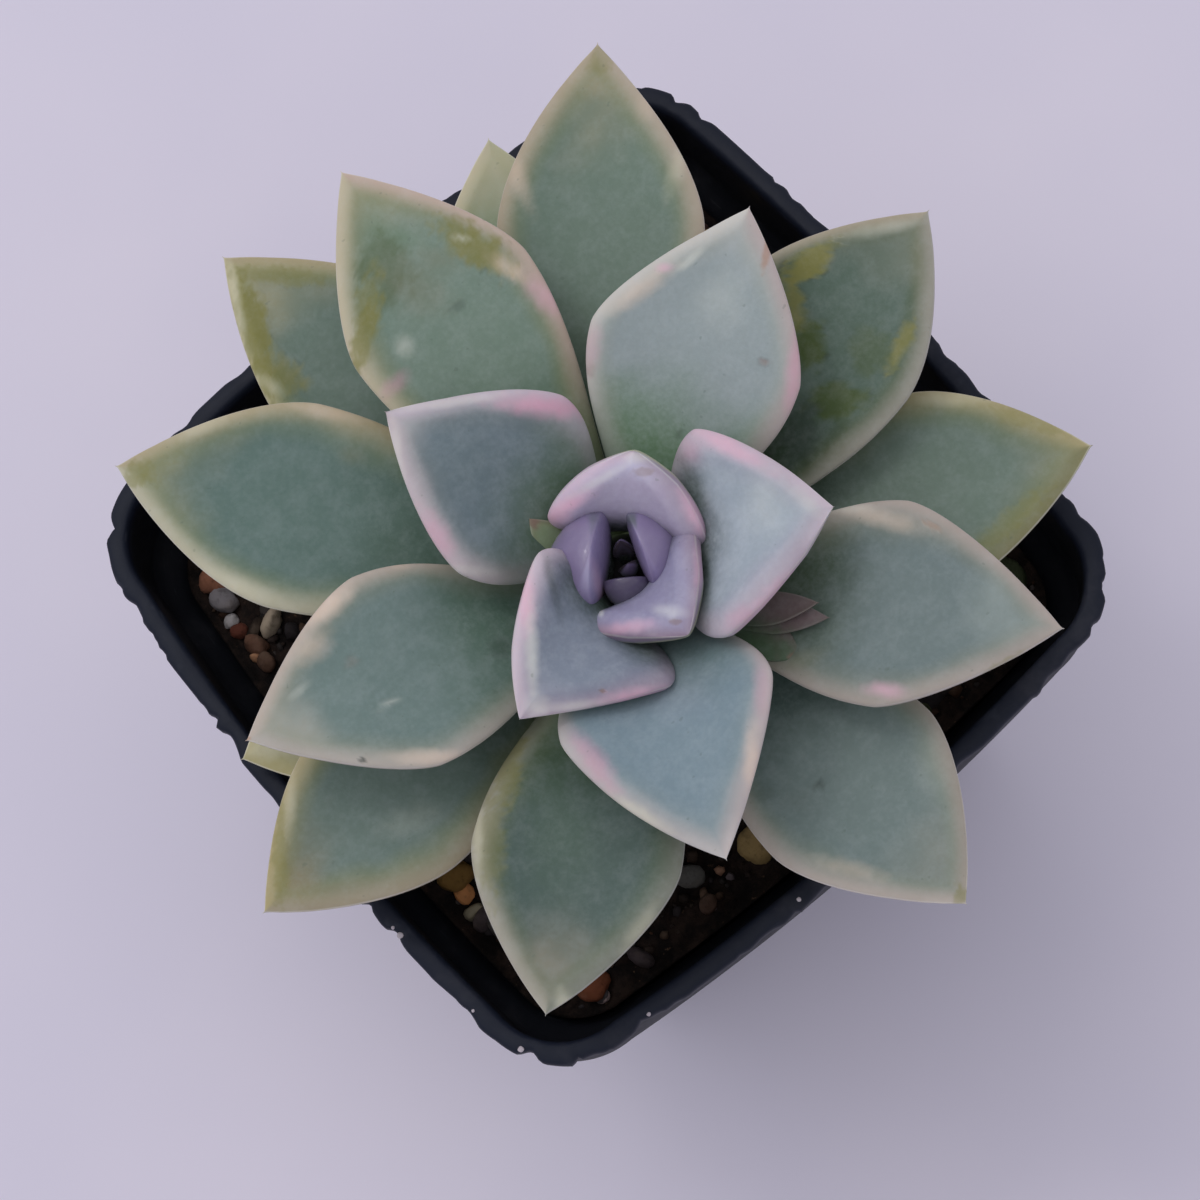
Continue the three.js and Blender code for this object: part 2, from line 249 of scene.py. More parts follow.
# Camera, light and floor.
def buildStage():
    lensData = bpy.data.cameras.new("photoCamera")
    lensData.lens = view["lens"]
    lensData.sensor_width = lensData.sensor_height = view["sensor"]
    lensData.sensor_fit = "HORIZONTAL"
    lensData.clip_start, lensData.clip_end = 0.01, 20
    camera = bpy.data.objects.new("photoCamera", lensData)
    turn = Matrix([camRight, camUp, camBack]).transposed().to_4x4()
    camera.matrix_world = Matrix.Translation(Vector(camSpot * mm)) @ turn
    scene.collection.objects.link(camera)
    scene.camera = camera
    scene.view_settings.view_transform = "Standard"

    stage = {"floorTone": (198, 192, 206), "cloudTone": (192, 187, 203), "fleckTone": (150, 148, 165),
             "size": 3.0, "lampTone": (1.0, 0.985, 0.97), "aim": (0, 0, 0.06),
             "roomTone": (0.93, 0.94, 1.0, 1), "room": 0.5}
    material, start, shader, spot = freshMaterial("paleSheet", {"Roughness": 0.85, "Specular IOR Level": 0.2})
    cloud = start.noise(spot, 14, 3).rise(0.3, 0.7)
    fleck = start.noise(spot, 95, 3, 0.6).rise(0.72, 0.8)
    pale = cloud.mix(tone(*stage["floorTone"]), tone(*stage["cloudTone"]))
    connect(start, shader, {"Base Color": (fleck * 0.25).mix(pale, tone(*stage["fleckTone"]))})
    half = stage["size"] / 2 / mm
    corners = np.array([[-half, -half, 0], [half, -half, 0], [half, half, 0], [-half, half, 0]])
    sheet = {"points": corners, "faces": [np.array([[0, 1, 2, 3]])], "fields": {}}
    floor = makePiece("floorSheet", sheet, material)

    lamps = {"windowLight": {"spot": (-0.08, 0.62, 0.98), "size": 1.1, "watts": 2.1},
             "ceilingLight": {"spot": (-0.05, 0.1, 1.2), "size": 1.4, "watts": 2.1},
             "glintLight": {"spot": (-0.12, 0.42, 0.92), "size": 0.14, "watts": 0.5}}
    for name, light in lamps.items():
        lampData = bpy.data.lights.new(name, "AREA")
        lampData.shape, lampData.size, lampData.energy = "DISK", light["size"], light["watts"]
        lampData.color = stage["lampTone"]
        lamp = bpy.data.objects.new(name, lampData)
        lamp.location = light["spot"]
        aim = Vector(stage["aim"]) - Vector(light["spot"])
        lamp.rotation_euler = aim.to_track_quat("-Z", "Y").to_euler()
        scene.collection.objects.link(lamp)
    world = bpy.data.worlds.new("softRoom")
    world.use_nodes = True
    room = world.node_tree.nodes["Background"].inputs
    room["Color"].default_value, room["Strength"].default_value = stage["roomTone"], stage["room"]
    scene.world = world


# Square outlines with round corners and bowed sides, one per row: each side runs along t from -1 to 1 as
# (half - bow + bow (1 - t squared), flat t), then the corner follows its arc, and three more quarter turns
# close it.
def squareRings(half, corner, bow, z, sideSteps, cornerSteps):
    t = np.linspace(-1, 1, sideSteps, endpoint=False)
    angle = np.linspace(0, math.pi / 2, cornerSteps, endpoint=False)
    half, corner, bow, z = (np.asarray(v, float)[:, None] for v in (half, corner, bow, z))
    flat = half - bow - corner
    x = np.concatenate([half - bow + bow * (1 - t ** 2), flat + corner * np.cos(angle)], 1)
    y = np.concatenate([flat * t, flat + corner * np.sin(angle)], 1)
    x, y = np.concatenate([x, -y, -x, y], 1), np.concatenate([y, x, -y, -x], 1)
    return np.stack([x, y, np.broadcast_to(z, x.shape)], -1)


pot = {
    "height": 62, "rimHalf": 35, "rimBow": 1.3, "rimCorner": 8.8, "baseHalf": 25, "baseCorner": 7,
    "wall": 1, "floor": 1.6, "lipWidth": 0.8, "collarStep": 0.7, "holeCount": 8, "holeRadius": 3.2,
    "sideHoleSpread": 15, "cornerHoleSpread": 19.5, "sideSteps": 110, "cornerSteps": 40,
    "raggedKnots": 190, "ragged": 0.13, "notches": 60, "notchDepth": 0.45,
}


# Half width, corner and bow of the tapering body at a height, and of the rim.
def bodyRow(z, inset):
    t = z / pot["height"]
    half = pot["baseHalf"] + (pot["rimHalf"] - pot["lipWidth"] - pot["collarStep"] - pot["baseHalf"]) * t
    corner = pot["baseCorner"] + (pot["rimCorner"] - pot["lipWidth"] - pot["baseCorner"]) * t
    return half - inset, corner - inset, pot["rimBow"] * t, z


def rimRow(z, inset):
    return pot["rimHalf"] - inset, pot["rimCorner"] - inset, pot["rimBow"], z


# Rows between key rows, closer than a step.
def refine(rows, step):
    rows = np.array(rows, float)
    gaps = np.hypot(*(np.diff(rows, axis=0)[:, [0, 3]].T))
    counts = np.maximum(1, np.ceil(gaps / step)).astype(int)
    spots = np.concatenate([i + np.arange(n) / n for i, n in enumerate(counts)] + [[len(rows) - 1]])
    return np.stack([np.interp(spots, np.arange(len(rows)), rows[:, k]) for k in range(4)], 0)


# The pot: one wall lofted up its outside, over the lip and down its inside; its lip is ragged from moulding.
def buildPot():
    h, inner = pot["height"], pot["lipWidth"] + pot["wall"]
    rows = [bodyRow(0, 0.7), bodyRow(0.25, 0.25), bodyRow(0.8, 0), bodyRow(h - 11, 0),
            rimRow(h - 10.2, 1.0), rimRow(h - 9.6, 0.8), rimRow(h - 2.2, 0.8), rimRow(h - 1.75, 0.7),
            rimRow(h - 1.6, 0.5), rimRow(h - 1.55, 0.2), rimRow(h - 1.35, 0), rimRow(h - 0.45, 0),
            rimRow(h - 0.15, 0.12), rimRow(h, 0.4), rimRow(h, inner - 0.45), rimRow(h - 0.15, inner - 0.12),
            rimRow(h - 1, inner), rimRow(h - 9.4, inner), bodyRow(h - 12, pot["wall"]),
            bodyRow(4, pot["wall"]), bodyRow(pot["floor"] + 0.5, pot["wall"] + 0.1),
            bodyRow(pot["floor"], pot["wall"] + 0.8)]
    half, corner, bow, z = refine(rows, 1.6)
    rings = squareRings(half, corner, bow, z, pot["sideSteps"], pot["cornerSteps"])
    along = np.roll(rings, -1, 1) - np.roll(rings, 1, 1)
    out = np.stack([along[..., 1], -along[..., 0], 0 * along[..., 0]], -1)
    out /= np.linalg.norm(out, axis=-1, keepdims=True)
    columns = rings.shape[1]
    lap = np.arange(columns) / columns
    random = np.random.default_rng(7)
    knots = np.sort(random.uniform(0, 1, pot["raggedKnots"]))
    heights = np.clip(random.normal(0, 1, pot["raggedKnots"]), -1.8, 1.8) * pot["ragged"]
    ragged = np.interp(lap, knots, heights, period=1)
    for spot, width, depth in random.uniform(0, 1, (pot["notches"], 3)):
        away = np.abs((lap - spot + 0.5) % 1 - 0.5) * columns
        ragged -= pot["notchDepth"] * depth * np.clip(1.2 - away / (1 + 2.5 * width), 0, 1)
    lip = smoothStep(rings[..., 2], h - 1.75, h - 1.4)
    outer = smoothStep(half[:, None], pot["rimHalf"] - 1.9, pot["rimHalf"] - 0.4)
    wave = 0.1 * softNoise(rings[..., 0] / 9, rings[..., 1] / 9, rings[..., 2] / 14, 3)
    rings = rings + out * (lip * outer * (ragged + 0.1) + wave)[..., None]
    rings[..., 2] += lip * (0.07 * softNoise(rings[..., 0] / 2.2, rings[..., 1] / 2.2, 0, 5) - 0.05)
    foot, middle = rings[0].mean(0), rings[-1].mean(0)
    shape = {"points": tubePoints(foot, rings, middle), "faces": tubeFaces(*rings.shape[:2]), "fields": {}}
    piece = makePiece("nurseryPot", shape, plasticMaterial())
    cutHoles(piece)
    place(piece, "pot", "pot")
    print("pot done", len(piece.data.polygons))


# Drain holes: cylinders taken out of the floor.
def cutHoles(piece):
    shapes = []
    angle = np.linspace(0, 2 * math.pi, 32, endpoint=False)
    for i in range(pot["holeCount"]):
        spread = pot["cornerHoleSpread"] if i % 2 else pot["sideHoleSpread"]
        middle = spread * bearingVector(360 * i / pot["holeCount"])
        ring = pot["holeRadius"] * np.stack([np.cos(angle), np.sin(angle), 0 * angle], -1) + middle
        rings = np.stack([ring - [0, 0, 3], ring + [0, 0, 5]])
        shapes.append({"points": tubePoints(middle - [0, 0, 3], rings, middle + [0, 0, 5]),
                       "faces": tubeFaces(2, len(angle)), "fields": {}})
    cutter = makePiece("holeCutter", joinShapes(shapes), piece.data.materials[0])
    cut = piece.modifiers.new("drainHoles", "BOOLEAN")
    cut.operation, cut.object, cut.solver = "DIFFERENCE", cutter, "EXACT"
    bpy.context.view_layer.update()
    finished = bpy.data.meshes.new_from_object(piece.evaluated_get(bpy.context.evaluated_depsgraph_get()))
    piece.modifiers.clear()
    piece.data = finished
    bpy.data.objects.remove(cutter)


def plasticMaterial():
    material, start, shader, spot = freshMaterial("blackPlastic", {"IOR": 1.48, "Specular IOR Level": 0.28})
    dust = start.noise(spot, 160, 4, 0.65)
    haze = start.noise(spot, 45, 2)
    height = start.node("SeparateXYZ", {}, {0: spot}, "Z")
    onLip = height.rise(0.0600, 0.0612)
    body = haze.mix(tone(15, 16, 22), tone(23, 25, 33))
    lipTone = haze.mix(tone(12, 16, 28), tone(20, 25, 40))
    clean = onLip.mix(body, lipTone)
    dusty = (dust.rise(0.5, 0.78) * 0.2).mix(clean, tone(74, 72, 78))
    scratch = start.noise(start.node("Mapping", {}, {"Vector": spot, "Scale": (260, 260, 2500)}), 1, 3)
    color = (scratch.rise(0.62, 0.75) * 0.12).mix(dusty, tone(95, 98, 108))
    grain = start.noise(spot, 2600, 3, 0.6)
    relief = grain * 0.6 + start.noise(spot, 420, 3) * 1.2
    connect(start, shader, {"Base Color": color, "Roughness": 0.42 + dust * 0.32,
                            "Normal": bump(start, relief, 0.35, 0.0001)})
    return material


soil = {
    "clearance": 0.3, "drop": 10, "relief": 0.5, "half": 29.5, "corner": 6.5, "grainCount": 64,
    "grainSize": 1, "sideSteps": 80, "cornerSteps": 30, "rings": 110, "crumbs": 1500, "chips": 90,
}
soilTop = pot["height"] - soil["drop"]
stem = {"x": 0.4, "y": -5.8, "radius": 4, "footDepth": 14, "shoulder": 8.8, "top": 11.2, "plantTurn": -40}


def surfaceHeight(x, y):
    swell = np.sin(0.31 * x + 1.2) * np.cos(0.27 * y) + 0.6 * np.sin(0.55 * y + 0.4 * x)
    return soilTop + soil["relief"] * swell


# Crumbly relief: three sizes of noise, the lows flattened.
def crumbRelief(x, y):
    coarse = softNoise(x / 2.6, y / 2.6, 0, 21)
    mid = np.abs(softNoise(x / 1.1, y / 1.1, 0, 22))
    fine = softNoise(x / 0.45, y / 0.45, 0, 23)
    return 0.55 * coarse + 0.7 * (0.5 - mid) + 0.16 * fine - 0.2


# The soil body: sides parallel to the wall, a crumbly top of shrinking outlines.
def buildSoil():
    inset = pot["wall"] + soil["clearance"]
    low = pot["floor"] + soil["clearance"]
    rows = refine([bodyRow(low, inset), bodyRow(soilTop / 2, inset), bodyRow(soilTop - 1, inset)], 3)
    sides = squareRings(*rows, soil["sideSteps"], soil["cornerSteps"])
    shrink = np.linspace(1, 0.02, soil["rings"])[:, None]
    edge = squareRings(*[[v] for v in bodyRow(soilTop, inset)], soil["sideSteps"], soil["cornerSteps"])[0]
    x, y = edge[:, 0] * shrink, edge[:, 1] * shrink
    z = surfaceHeight(x, y) + crumbRelief(x, y) * smoothStep(shrink, 1.0, 0.97)
    rings = np.concatenate([sides, np.stack([x, y, z], -1)])
    bottom, centre = [0, 0, low], [0, 0, z[-1].mean()]
    shape = {"points": tubePoints(bottom, rings, centre), "faces": tubeFaces(*rings.shape[:2]), "fields": {}}
    place(makePiece("pottingSoil", shape, soilMaterial()), "soil", "soil")


def soilMaterial():
    material, start, shader, spot = freshMaterial("darkSoil", {"Specular IOR Level": 0.15})
    lump = start.noise(spot, 420, 4, 0.7)
    fleck = start.noise(spot, 1500, 3, 0.6)
    earth = lump.rise(0.35, 0.7).mix(tone(16, 13, 13), tone(42, 32, 28))
    color = (fleck.rise(0.66, 0.76) * 0.7).mix(earth, tone(84, 66, 52))
    relief = start.noise(spot, 900, 5, 0.7)
    connect(start, shader, {"Base Color": color, "Roughness": 0.8 + fleck * 0.2,
                            "Normal": bump(start, relief, 0.7, 0.0004)})
    return material


# Stones: unit spheres of rings and sides, swollen by noise, stretched, tipped about X and turned about Z.
def stoneField(stones, rings, sides, lump, seed):
    centres, sizes, tip, turn, tones = (np.array([s[k] for s in stones], float) for k in range(5))
    polar = np.linspace(0, math.pi, rings + 2)[1:-1, None]
    lap = np.linspace(0, 2 * math.pi, sides, endpoint=False)
    around = np.sin(polar) * np.cos(lap), np.sin(polar) * np.sin(lap), -np.cos(polar)
    grid = np.stack(np.broadcast_arrays(*around), -1)
    unit = tubePoints([0, 0, -1], grid, [0, 0, 1])
    k = np.arange(len(stones))[:, None]
    rough = softNoise(unit[:, 0] * 1.4 + 7 * k, unit[:, 1] * 1.4 + 3 * k, unit[:, 2] * 1.4, seed)
    rough += 0.4 * softNoise(unit[:, 0] * 3.6 + 5 * k, unit[:, 1] * 3.6, unit[:, 2] * 3.6 + 9 * k, seed + 1)
    body = unit[None] * (1 + lump * rough)[..., None] * sizes[:, None]
    c, s = np.cos(tip)[:, None], np.sin(tip)[:, None]
    x, y, z = body[..., 0], c * body[..., 1] - s * body[..., 2], s * body[..., 1] + c * body[..., 2]
    c, s = np.cos(turn)[:, None], np.sin(turn)[:, None]
    points = np.stack([c * x - s * y, s * x + c * y, z], -1) + centres[:, None]
    shades = np.repeat(np.concatenate([tones[:, None, :3], np.ones((len(stones), 1, 1))], -1), len(unit), 1)
    starts = [len(unit) * i for i in range(len(stones))]
    faces = [np.concatenate([face + start for start in starts]) for face in tubeFaces(rings, sides)]
    return {"points": points.reshape(-1, 3), "faces": faces, "fields": {"grainTone": shades.reshape(-1, 4)}}


# Repeatable random numbers from 0 to 1, the rule that placed the grains of the solid soil.
def seeded(seed):
    state = seed
    while True:
        state = state * 16807 % 2147483647
        yield state / 2147483647


grainTones = [(46, 36, 31), (58, 44, 36), (36, 29, 27), (70, 54, 44), (52, 47, 46), (62, 42, 32),
              (40, 36, 38)]

# Stones that show in the photograph: pixel, radius in pixels, how flat, colour.
shownStones = [
    (178, 577, 17, 0.8, (126, 84, 66)), (205, 600, 15, 0.7, (112, 108, 112)),
    (219, 621, 8, 0.9, (150, 146, 148)), (228, 649, 13, 0.7, (92, 66, 54)),
    (271, 622, 16, 0.6, (150, 136, 120)), (229, 664, 6, 0.8, (150, 110, 84)),
    (238, 700, 8, 0.8, (134, 100, 78)), (204, 634, 9, 0.8, (84, 46, 36)),
    (214, 413, 6, 0.8, (150, 140, 142)), (441, 906, 17, 0.8, (104, 78, 40)),
    (448, 929, 11, 0.9, (166, 112, 70)), (455, 962, 10, 0.8, (126, 118, 100)),
    (486, 976, 19, 0.75, (72, 68, 66)), (478, 940, 15, 0.6, (62, 54, 56)),
    (590, 992, 8, 0.9, (176, 156, 152)), (603, 1003, 7, 0.9, (156, 136, 136)),
    (588, 1030, 18, 0.6, (98, 56, 38)), (762, 850, 21, 0.8, (146, 122, 82)),
    (690, 876, 14, 0.9, (82, 80, 78)), (716, 209, 13, 0.9, (176, 146, 84)),
    (703, 178, 20, 0.5, (66, 48, 46)), (930, 374, 13, 0.7, (176, 134, 100)),
    (1043, 537, 19, 0.7, (172, 146, 130)), (1052, 578, 22, 0.6, (48, 54, 36)),
    (1038, 664, 18, 0.6, (56, 46, 44)), (212, 676, 10, 0.7, (74, 54, 44)),
    (962, 735, 14, 0.6, (52, 54, 36)), (645, 1008, 13, 0.6, (58, 50, 52)),
    (720, 940, 10, 0.8, (70, 52, 44)), (245, 385, 12, 0.6, (50, 40, 38)),
    (600, 1048, 9, 0.6, (70, 64, 66)), (560, 1012, 12, 0.6, (50, 42, 42)),
]
rimSpecks = [(797, 897, 2.4), (402, 935, 3.2), (521, 1050, 3.0), (396, 925, 1.8), (668, 1042, 2.0),
             (470, 1010, 1.6)]  # pixel and radius in pixels; each is laid on the nearest point of the lip


def insideSoil(x, y, size):
    straight = soil["half"] - soil["corner"]
    intoCorner = np.hypot(np.clip(np.abs(x) - straight, 0, None), np.clip(np.abs(y) - straight, 0, None))
    return intoCorner < soil["corner"] - 1.2 * size


def buildGrains():
    random = seeded(11)
    stones = []
    for i in range(soil["grainCount"]):
        size = soil["grainSize"] * (1 + 1.5 * next(random) ** 2)
        room = soil["half"] - 1.4 * size
        x = room * (2 * next(random) - 1)
        y = room * (2 * next(random) - 1)
        turn = 2 * math.pi * next(random)
        clear = math.hypot(x - stem["x"], y - stem["y"]) > stem["radius"] + 5
        if clear and insideSoil(x, y, 1.17 * size):
            centre = (x, y, surfaceHeight(x, y) + 0.15 * size)
            radii = (1.25 * size, 0.9 * size, 0.75 * size)
            stones.append((centre, radii, turn, 2.3 * turn, tone(*grainTones[i % len(grainTones)])))
    pixel = view["distance"] / pixelsPerSlope
    for i, (px, py, radius, flat, color) in enumerate(shownStones):
        size = radius * pixel * 1.03
        x, y, _ = fromPixel(px, py, soilTop + 0.4 * size)
        while not insideSoil(x, y, size):
            x, y = 0.985 * x, 0.985 * y
        centre = (x, y, surfaceHeight(x, y) + 0.3 * size)
        stones.append((centre, (1.08 * size, 0.95 * size, flat * size), 0.4 * i, 1.7 * i, tone(*color)))
    row = [[v] for v in rimRow(pot["height"], 0.5 * pot["lipWidth"] + 0.1)]
    lipLine = squareRings(*row, pot["sideSteps"], pot["cornerSteps"])[0]
    for px, py, radius in rimSpecks:
        away = lipLine - fromPixel(px, py, pot["height"])
        x, y, _ = lipLine[np.argmin(np.hypot(away[:, 0], away[:, 1]))]
        size = radius * pixel
        stones.append(((x, y, pot["height"] - 0.05), (size, size, 0.5 * size), 0, px, tone(168, 160, 168)))
    grains = stoneField(stones, 13, 22, 0.16, 41)

    dice = np.random.default_rng(5)
    crumbs = []
    for i in range(soil["crumbs"] + soil["chips"]):
        x, y = dice.uniform(-soil["half"], soil["half"], 2)
        chip = i >= soil["crumbs"]
        size = dice.uniform(0.7, 1.9) if chip else 0.22 + 0.75 * dice.uniform() ** 3
        stretch = (1.3, 0.5, 0.28) if chip else dice.uniform(0.6, 1.1, 3)
        tip, turn = dice.uniform(-0.5, 0.5) if chip else dice.uniform(0, 6), dice.uniform(0, 6)
        shade = grainTones[dice.integers(len(grainTones))]
        light = dice.uniform(0.5, 1.15) if i % 23 else 2.2
        if insideSoil(x, y, 1.3 * size) and math.hypot(x - stem["x"], y - stem["y"]) > stem["radius"]:
            lift = surfaceHeight(x, y) + max(-0.2, float(crumbRelief(x, y))) + 0.25 * size
            color = tone(*[min(215, c * light) for c in shade])
            crumbs.append(((x, y, lift), size * np.array(stretch), tip, turn, color))
    fine = stoneField(crumbs, 3, 6, 0.3, 51)
    piece = makePiece("soilGrains", joinShapes([grains, fine]), grainMaterial())
    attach(piece, "root")
    print("soil done", len(stones), len(crumbs))


def grainMaterial():
    material, start, shader, spot = freshMaterial("gritAndBark", {"Specular IOR Level": 0.2})
    own = start.attribute("grainTone", "Color")
    pit = start.noise(spot, 1300, 4, 0.65)
    patch = start.noise(spot, 420, 3)
    worn = (pit.rise(0.5, 0.75) * 0.5).mix(own, tone(30, 24, 22))
    color = (patch.rise(0.5, 0.8) * 0.35).mix(worn, tone(120, 104, 92))
    connect(start, shader, {"Base Color": (0.3 * patch.rise(0.3, 0.8)).mix(color, own),
                            "Roughness": 0.7 + pit * 0.3, "Normal": bump(start, pit, 0.6, 0.0003)})
    return material


# Leaf shapes: turn about the stem (degrees), reach of the tip from the stem's axis, height of the tip above
# the rim, half width, thickness, arch (degrees), then foot radius and height, cup, sideways bend, the
# foot's own turn (skew), roll about the midrib and the shape of the blade.
leaves = [
    {"turn": -53, "roll": 6, "reach": 9.2, "tip": 18.4, "half": 6.3, "thick": 4, "arch": 42, "foot": 3,
     "height": 11, "cup": 0.6, "widest": 0.36, "point": 1.25, "blunt": 0.6},
    {"turn": 80, "reach": 7.8, "tip": 19.6, "half": 6.6, "arch": 36, "foot": 4, "cup": 0.6, "widest": 0.42,
     "point": 1.5, "blunt": 1},
    {"turn": -125, "skew": 24, "roll": -15, "reach": 16.4, "tip": 19.5, "half": 7.5, "thick": 4.4,
     "arch": 42, "cup": 0.6, "widest": 0.42, "point": 1.25, "blunt": 0.3},
    {"turn": 8, "reach": 17.5, "tip": 20, "half": 8.7, "arch": 32, "cup": 0.45, "widest": 0.48,
     "point": 1.3, "blunt": 0.2},
    {"turn": 150, "skew": -8, "reach": 22.5, "tip": 19.5, "half": 8.5, "arch": 28, "cup": 0.38,
     "widest": 0.47, "bend": -4, "point": 1.4},
    {"turn": -72, "reach": 27, "tip": 19, "half": 8.9, "arch": 24, "cup": 0.32, "widest": 0.5, "bend": 12,
     "point": 1.4},
    {"turn": 69, "reach": 30.5, "tip": 19, "half": 9.1, "arch": 16, "cup": 0.3, "widest": 0.56, "point": 1.4},
    {"turn": -154, "reach": 34, "tip": 17, "half": 8.8, "arch": 10, "widest": 0.58, "point": 1.45},
    {"turn": -11, "reach": 36, "tip": 15, "half": 8.6, "arch": 8, "widest": 0.58, "point": 1.45},
    {"turn": 125, "reach": 41.5, "tip": 17, "half": 8.7, "arch": 6, "point": 1.5},
    {"turn": -100, "reach": 37.5, "tip": 13, "half": 8.7, "arch": 3, "point": 1.6},
    {"turn": 49, "reach": 39, "tip": 14, "half": 8.8, "thick": 4.5, "arch": -2},
    {"turn": 167, "reach": 45, "tip": 12, "half": 9.2, "thick": 4.5, "arch": -2},
    {"turn": -46, "reach": 39, "tip": 9, "half": 8.8, "thick": 4.5, "bend": -6, "point": 1.6},
    {"turn": 93, "reach": 47, "tip": 12, "half": 9, "thick": 4.5, "bend": -10},
    {"turn": -138, "reach": 41.5, "tip": 8, "half": 8.3, "thick": 4.4, "bend": 5},
    {"turn": 15, "reach": 40, "tip": 8, "half": 8.6, "thick": 4.4, "arch": -2, "bend": -6},
    {"turn": 140, "reach": 47.5, "tip": 7, "half": 8.6, "thick": 4, "arch": -5},
    {"turn": -158, "reach": 37, "tip": 3, "half": 8, "thick": 2.6, "arch": -9, "height": -1.5, "bend": 8},
    {"turn": 107.5, "reach": 44, "tip": 4, "half": 8.2, "thick": 2.8, "arch": -6, "height": -0.8,
     "bend": -14},
]
leafDefaults = {
    "thick": 4.6, "arch": 0, "foot": 4.2, "cup": 0.25, "bend": 0, "skew": 0, "roll": 0, "widest": 0.62,
    "point": 1.7, "footWidth": 0.3, "blunt": 0, "crown": 0.25, "keel": 0.15, "rollWidth": 1.6,
    "rollDepth": 0.5,
    "rows": 120, "columns": 96, "wobble": 0.015, "swell": 0.14, "mucro": 0.12,
}
topLeafHeight, leafPitch = 11.5, 0.6
marginRolls = [(2.4, 1.7), (2.4, 1.7), (2.4, 1.7), (2.2, 1.3), (2.2, 1.3), (1.8, 0.9), (1.8, 0.9), (1.6, 0.5)]
budLeaves = [
    {"turn": 172, "skew": 20, "reach": 2.4, "tip": 18.4, "half": 4, "thick": 4.4, "arch": -8, "foot": 1.6,
     "height": 11.5},
    {"turn": 20, "reach": 1.8, "tip": 17.8, "half": 3.3, "thick": 3.2, "arch": -6, "foot": 1.3,
     "height": 11.6},
    {"turn": -85, "reach": 2.1, "tip": 16.4, "half": 1.9, "thick": 2.4, "arch": -6, "foot": 1.6,
     "height": 11.4},
]
budDefaults = {**leafDefaults, "cup": 0.04, "widest": 0.6, "point": 2.6, "footWidth": 0.5,
               "blunt": 1, "dome": 2.2, "crown": 0.2, "rollDepth": 0, "swell": 0, "rows": 70,
               "columns": 72, "mucro": 0.01}
shootDefaults = {**leafDefaults, "cup": 0.15, "widest": 0.5, "footWidth": 0.6, "keel": 0.1, "rollDepth": 0,
                 "swell": 0.05, "rows": 60, "columns": 40, "mucro": 0.1}
budHeart = [
    {"turn": 95, "reach": 1.1, "tip": 16.4, "half": 0.9, "thick": 1, "foot": 0.5, "height": 11.5},
    {"turn": -60, "reach": 0.8, "tip": 15.8, "half": 0.9, "thick": 1, "foot": 0.3, "height": 11.5},
]
rightShoot = [
    {"turn": -27, "reach": 11, "tip": 11.6, "half": 1.5, "thick": 2.4, "foot": 4.4, "height": 7.4,
     "footWidth": 1},
    {"turn": -7, "skew": -20, "reach": 17.7, "tip": 13.6, "half": 1.5, "thick": 1.3, "foot": 9,
     "height": 10.6},
    {"turn": 0, "skew": -27, "reach": 16.8, "tip": 14.6, "half": 1.4, "thick": 1.2, "foot": 9,
     "height": 10.8},
    {"turn": -33, "skew": 6, "reach": 16.6, "tip": 12.2, "half": 1.9, "thick": 1.8, "foot": 9,
     "height": 10.4},
]
leftShoot = [
    {"turn": 137, "skew": 40, "reach": 8.9, "tip": 15.6, "half": 1.7, "thick": 1.4, "foot": 4.3,
     "height": 10.6},
    {"turn": 127, "skew": 40, "reach": 10.2, "tip": 15.4, "half": 1.2, "thick": 1.2, "foot": 4.3,
     "height": 10.8},
]


# Midrib of a leaf at u from 0 to 1: its heading tilts by the arch and turns by the bend as it goes, and its
# points are the sum of the headings. Gives the points, the headings and the two directions of the section.
def midrib(leaf, u):
    climb, run = leaf["tip"] - leaf["height"], leaf["reach"] - leaf["foot"]
    arch = math.radians(leaf["arch"])
    length = math.hypot(climb, run) * (arch / math.sin(arch) if arch else 1)

    def heading(w):
        tilt = math.atan2(climb, run) + arch * (1 - 2 * w)
        turn = np.radians(stem["plantTurn"] + leaf["turn"] + leaf["bend"] * (w - 0.5))
        return np.stack([np.cos(tilt) * np.cos(turn), np.cos(tilt) * np.sin(turn), np.sin(tilt)], -1)

    steps = 240
    stretch = heading((np.arange(steps) + 0.5) / steps) * length / steps
    spine = np.concatenate([np.zeros((1, 3)), np.cumsum(stretch, 0)])
    start = leaf["foot"] * bearingVector(stem["plantTurn"] + leaf["turn"] + leaf["skew"])
    spine += start + [stem["x"], stem["y"], pot["height"] + leaf["height"]]
    middle = np.stack([np.interp(u, np.linspace(0, 1, steps + 1), spine[:, k]) for k in range(3)], -1)
    ahead = heading(u)
    turn = np.radians(stem["plantTurn"] + leaf["turn"] + leaf["bend"] * (u - 0.5))
    level = np.stack([-np.sin(turn), np.cos(turn), 0 * u], -1)
    roll = math.radians(leaf["roll"])
    across = level * math.cos(roll) + np.cross(ahead, level) * math.sin(roll)
    return middle, ahead, across, np.cross(ahead, across), length


